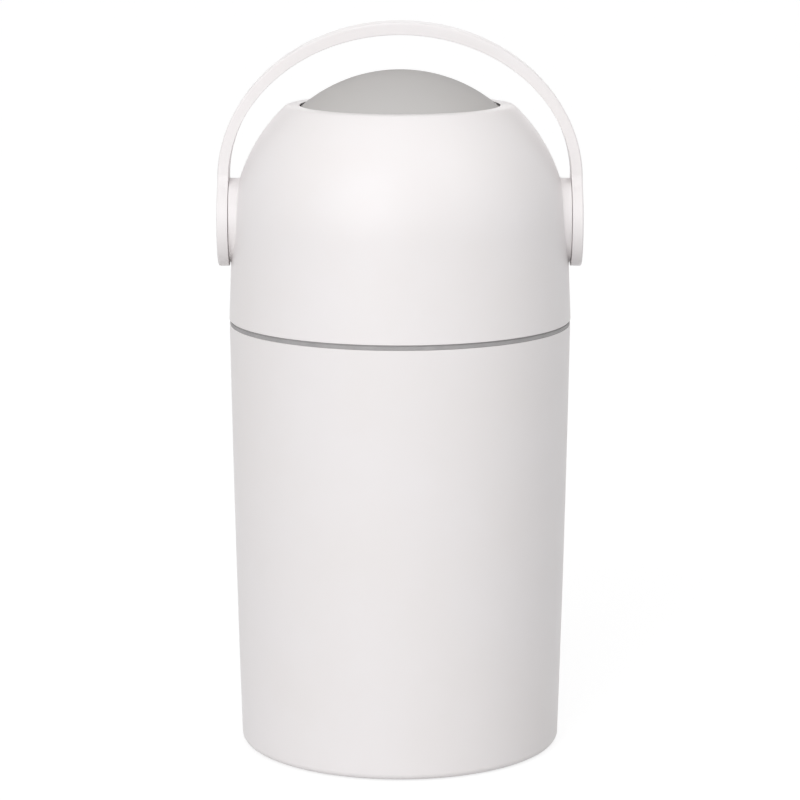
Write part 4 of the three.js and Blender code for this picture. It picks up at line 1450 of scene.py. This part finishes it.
class NAPPYBIN_OT_ball(bpy.types.Operator):
    """Builds the ball's two shells"""
    bl_idname = "nappy_bin.ball"
    bl_label = "Ball"

    def execute(self, context):
        mouth = context.scene.nappy_bin.ball.mouth
        ball_shell(context, "ball_front", "ball_front_shell", 0.0, -1)
        ball_shell(context, "ball_mouth", "ball_mouth_shell", mouth, 1)
        return {'FINISHED'}


class NAPPYBIN_OT_pocket(bpy.types.Operator):
    """Builds the pocket in the ball"""
    bl_idname = "nappy_bin.pocket"
    bl_label = "Pocket"

    def execute(self, context):
        settings = context.scene.nappy_bin
        sizes = settings.ball
        sink, neck_step, neck_fillet = mm(1.5, 1, 0.6)
        flange_edge, outer_edge, inner_edge = mm(0.5, 0.8, 0.9)
        bore = sizes.radius - sizes.wall
        neck = sizes.mouth - SEAT_GAP
        flange = sizes.mouth + sizes.cup_flange
        flange_top = math.sqrt(bore ** 2 - (flange + SEAT_GAP) ** 2) - SEAT_GAP
        flange_low = flange_top - sizes.cup_wall
        rim = math.sqrt((sizes.radius - sink) ** 2 - neck ** 2)
        inner = neck - sizes.cup_wall
        floor = inner - sizes.cup_taper
        back = -sizes.cup_back
        item = lathed("ball_pocket", [
            (0.0, back),
            (floor + sizes.cup_wall, back, sizes.cup_corner + sizes.cup_wall),
            (neck - neck_step, flange_low, neck_fillet),
            (flange, flange_low, flange_edge),
            (flange, flange_top, flange_edge),
            (neck, flange_top),
            (neck, rim, outer_edge),
            (inner, rim, inner_edge),
            (floor, back + sizes.cup_wall, sizes.cup_corner),
            (0.0, back + sizes.cup_wall),
        ], place=backwards(settings.lid.pivot), closed=False)
        finish_piece(item, "ball", "grey_ball", "ball_cup")
        return {'FINISHED'}


class NAPPYBIN_OT_ball_screws(bpy.types.Operator):
    """Builds the screws inside the ball"""
    bl_idname = "nappy_bin.ball_screws"
    bl_label = "Ball screws"

    def execute(self, context):
        seat = upright(BALL_SCREW_SEAT + SEAT_GAP)
        for number, post in enumerate(ball_posts(context.scene.nappy_bin.lid.pivot), 1):
            add_screw(
                f"ball_fixing_{number}", "ball", f"ball_screw_{number}", post @ seat,
                reach=38 * MM)
        return {'FINISHED'}


# Studio

# The floor as it is seen, the strengths of its glow, the soft light and the white background,
# and the camera's sensor in millimetres.
FLOOR_REACH = 20.0
FLOOR_SEEN = (0.30, 0.30, 0.30)
FLOOR_GLOW = 0.795
AMBIENT = 0.433
WHITE = 1.0
SENSOR_WIDTH = 36.0
CLIP_END = 100.0


def white_rays(tree):
    """1 for rays that look at the background, straight or by reflection or through glass."""
    path = add_node(tree, 'ShaderNodeLightPath')
    direct = computed(
        tree, 'MAXIMUM', path.outputs['Is Camera Ray'], path.outputs['Is Glossy Ray'])
    return computed(tree, 'MAXIMUM', direct, path.outputs['Is Transmission Ray'])


def split_rays(tree, surface, lighting, seen):
    """Shows one shader to the camera and reflections, and lights with another."""
    mix = add_node(
        tree, 'ShaderNodeMixShader', numbered={0: white_rays(tree), 1: lighting, 2: seen})
    feed(tree, surface, mix.outputs[0])


def floor_material(tint):
    """Pale floor that the camera and reflections see as white, with the bin's shadow kept."""
    material = bpy.data.materials.new("studio_floor")
    tree, surface = fresh_tree(material, 'ShaderNodeOutputMaterial')
    lit = add_node(tree, 'ShaderNodeBsdfDiffuse', Color=solid(tint))
    shadowed = add_node(tree, 'ShaderNodeBsdfDiffuse', Color=solid(FLOOR_SEEN))
    glow = add_node(tree, 'ShaderNodeEmission', Strength=FLOOR_GLOW)
    both = add_node(
        tree, 'ShaderNodeAddShader', numbered={0: shadowed.outputs[0], 1: glow.outputs[0]})
    split_rays(tree, surface, lit.outputs[0], both.outputs[0])
    return material


def build_world(scene):
    """A world that lights softly and looks white."""
    scene.world = bpy.data.worlds.new("studio")
    tree, surface = fresh_tree(scene.world, 'ShaderNodeOutputWorld')
    ambient, white = [
        add_node(tree, 'ShaderNodeBackground', Color=solid(SAME), Strength=strength)
        for strength in (AMBIENT, WHITE)
    ]
    split_rays(tree, surface, ambient.outputs[0], white.outputs[0])


def aimed(location, target):
    """Places a light or the camera so that it looks at a point."""
    direction = Vector(target) - Vector(location)
    turn = direction.to_track_quat('-Z', 'Y').to_matrix().to_4x4()
    return Matrix.Translation(location) @ turn


def sun_light(name, azimuth, elevation, softness, strength):
    """A soft light from far off; azimuth 0 is the front and grows to the right, in degrees."""
    light = bpy.data.lights.new(name, 'SUN')
    light.energy = strength
    light.angle = math.radians(softness)
    turn, rise = math.radians(azimuth), math.radians(elevation)
    source = (
        math.sin(turn) * math.cos(rise), -math.cos(turn) * math.cos(rise), math.sin(rise))
    link_object(name, light).matrix_world = aimed(source, (0.0, 0.0, 0.0))


def panel_light(name, location, target, size, power):
    """A square soft light near the bin."""
    light = bpy.data.lights.new(name, 'AREA')
    light.shape = 'SQUARE'
    light.size = size
    light.energy = power
    link_object(name, light).matrix_world = aimed(location, target)


def add_camera(studio):
    """The camera in front of the bin, a little above its middle."""
    camera = bpy.data.cameras.new("camera")
    camera.lens = studio.lens
    camera.sensor_width = SENSOR_WIDTH
    camera.clip_end = CLIP_END
    eye = link_object("camera", camera)
    eye.matrix_world = aimed(
        (0.0, -studio.camera_distance, studio.camera_height), (0.0, 0.0, studio.aim_height))
    bpy.context.scene.camera = eye


class NAPPYBIN_OT_studio(bpy.types.Operator):
    """Adds the floor, the lights and the camera"""
    bl_idname = "nappy_bin.studio"
    bl_label = "Studio"

    def execute(self, context):
        scene = context.scene
        studio = scene.nappy_bin.studio
        bm = bmesh.new()
        bmesh.ops.create_grid(bm, x_segments=8, y_segments=8, size=FLOOR_REACH)
        floor = as_object("floor", bm)
        floor.data.materials.append(floor_material(studio.floor))
        add_camera(studio)
        sun_light("key_light", azimuth=-23.0, elevation=20.0, softness=50.0, strength=1.14)
        panel_light(
            "near_light", location=(-0.55, -1.3, 1.0), target=(0.0, 0.0, 0.42),
            size=0.9, power=3.0)
        sun_light("top_light", azimuth=0.0, elevation=80.0, softness=60.0, strength=0.36)
        sun_light("rear_light", azimuth=175.0, elevation=8.0, softness=60.0, strength=0.4)
        panel_light(
            "lid_light", location=(0.9, -0.9, 1.5), target=(0.05, 0.0, 0.45),
            size=1.0, power=4.3)
        build_world(scene)
        scene.view_settings.view_transform = 'Standard'
        return {'FINISHED'}


# Panel and registration

BUILDERS = [
    NAPPYBIN_OT_studio, NAPPYBIN_OT_bin_body, NAPPYBIN_OT_feet, NAPPYBIN_OT_bag_ring,
    NAPPYBIN_OT_lid_seal, NAPPYBIN_OT_lid_housing, NAPPYBIN_OT_lid_cradle,
    NAPPYBIN_OT_wipers, NAPPYBIN_OT_cradle_screws, NAPPYBIN_OT_bearings, NAPPYBIN_OT_handle,
    NAPPYBIN_OT_handle_caps, NAPPYBIN_OT_ball, NAPPYBIN_OT_pocket, NAPPYBIN_OT_ball_screws,
]


class NAPPYBIN_PT_panel(bpy.types.Panel):
    """Lists the sizes, the colours and the builders of the nappy bin"""
    bl_idname = "NAPPYBIN_PT_panel"
    bl_label = "Nappy bin"
    bl_space_type = 'VIEW_3D'
    bl_region_type = 'UI'
    bl_category = "Nappy bin"

    def draw(self, context):
        settings = context.scene.nappy_bin
        for operator in BUILDERS:
            self.layout.operator(operator.bl_idname)
        for group in ("bin", "ring", "lid", "ball", "handle", "finish", "studio"):
            box = self.layout.box()
            box.label(text=group.capitalize())
            owner = getattr(settings, group)
            for name in owner.bl_rna.properties.keys():
                if name not in ("rna_type", "name"):
                    box.prop(owner, name)


CLASSES = [
    NAPPYBIN_PG_bin, NAPPYBIN_PG_ring, NAPPYBIN_PG_lid, NAPPYBIN_PG_ball,
    NAPPYBIN_PG_handle, NAPPYBIN_PG_finish, NAPPYBIN_PG_studio, NAPPYBIN_PG_settings,
    *BUILDERS, NAPPYBIN_PT_panel,
]


def register():
    """Registers the classes and adds the settings to every scene."""
    for entry in CLASSES:
        bpy.utils.register_class(entry)
    bpy.types.Scene.nappy_bin = PointerProperty(type=NAPPYBIN_PG_settings)


def unregister():
    """Takes away what register added."""
    del bpy.types.Scene.nappy_bin
    for entry in reversed(CLASSES):
        bpy.utils.unregister_class(entry)


def main():
    """Builds the studio and every piece."""
    register()
    bpy.ops.nappy_bin.studio()
    bpy.ops.nappy_bin.bin_body()
    bpy.ops.nappy_bin.feet()
    bpy.ops.nappy_bin.bag_ring()
    bpy.ops.nappy_bin.lid_seal()
    bpy.ops.nappy_bin.lid_housing()
    bpy.ops.nappy_bin.lid_cradle()
    bpy.ops.nappy_bin.wipers()
    bpy.ops.nappy_bin.cradle_screws()
    bpy.ops.nappy_bin.bearings()
    bpy.ops.nappy_bin.handle()
    bpy.ops.nappy_bin.handle_caps()
    bpy.ops.nappy_bin.ball()
    bpy.ops.nappy_bin.pocket()
    bpy.ops.nappy_bin.ball_screws()


if __name__ == "__main__":
    main()
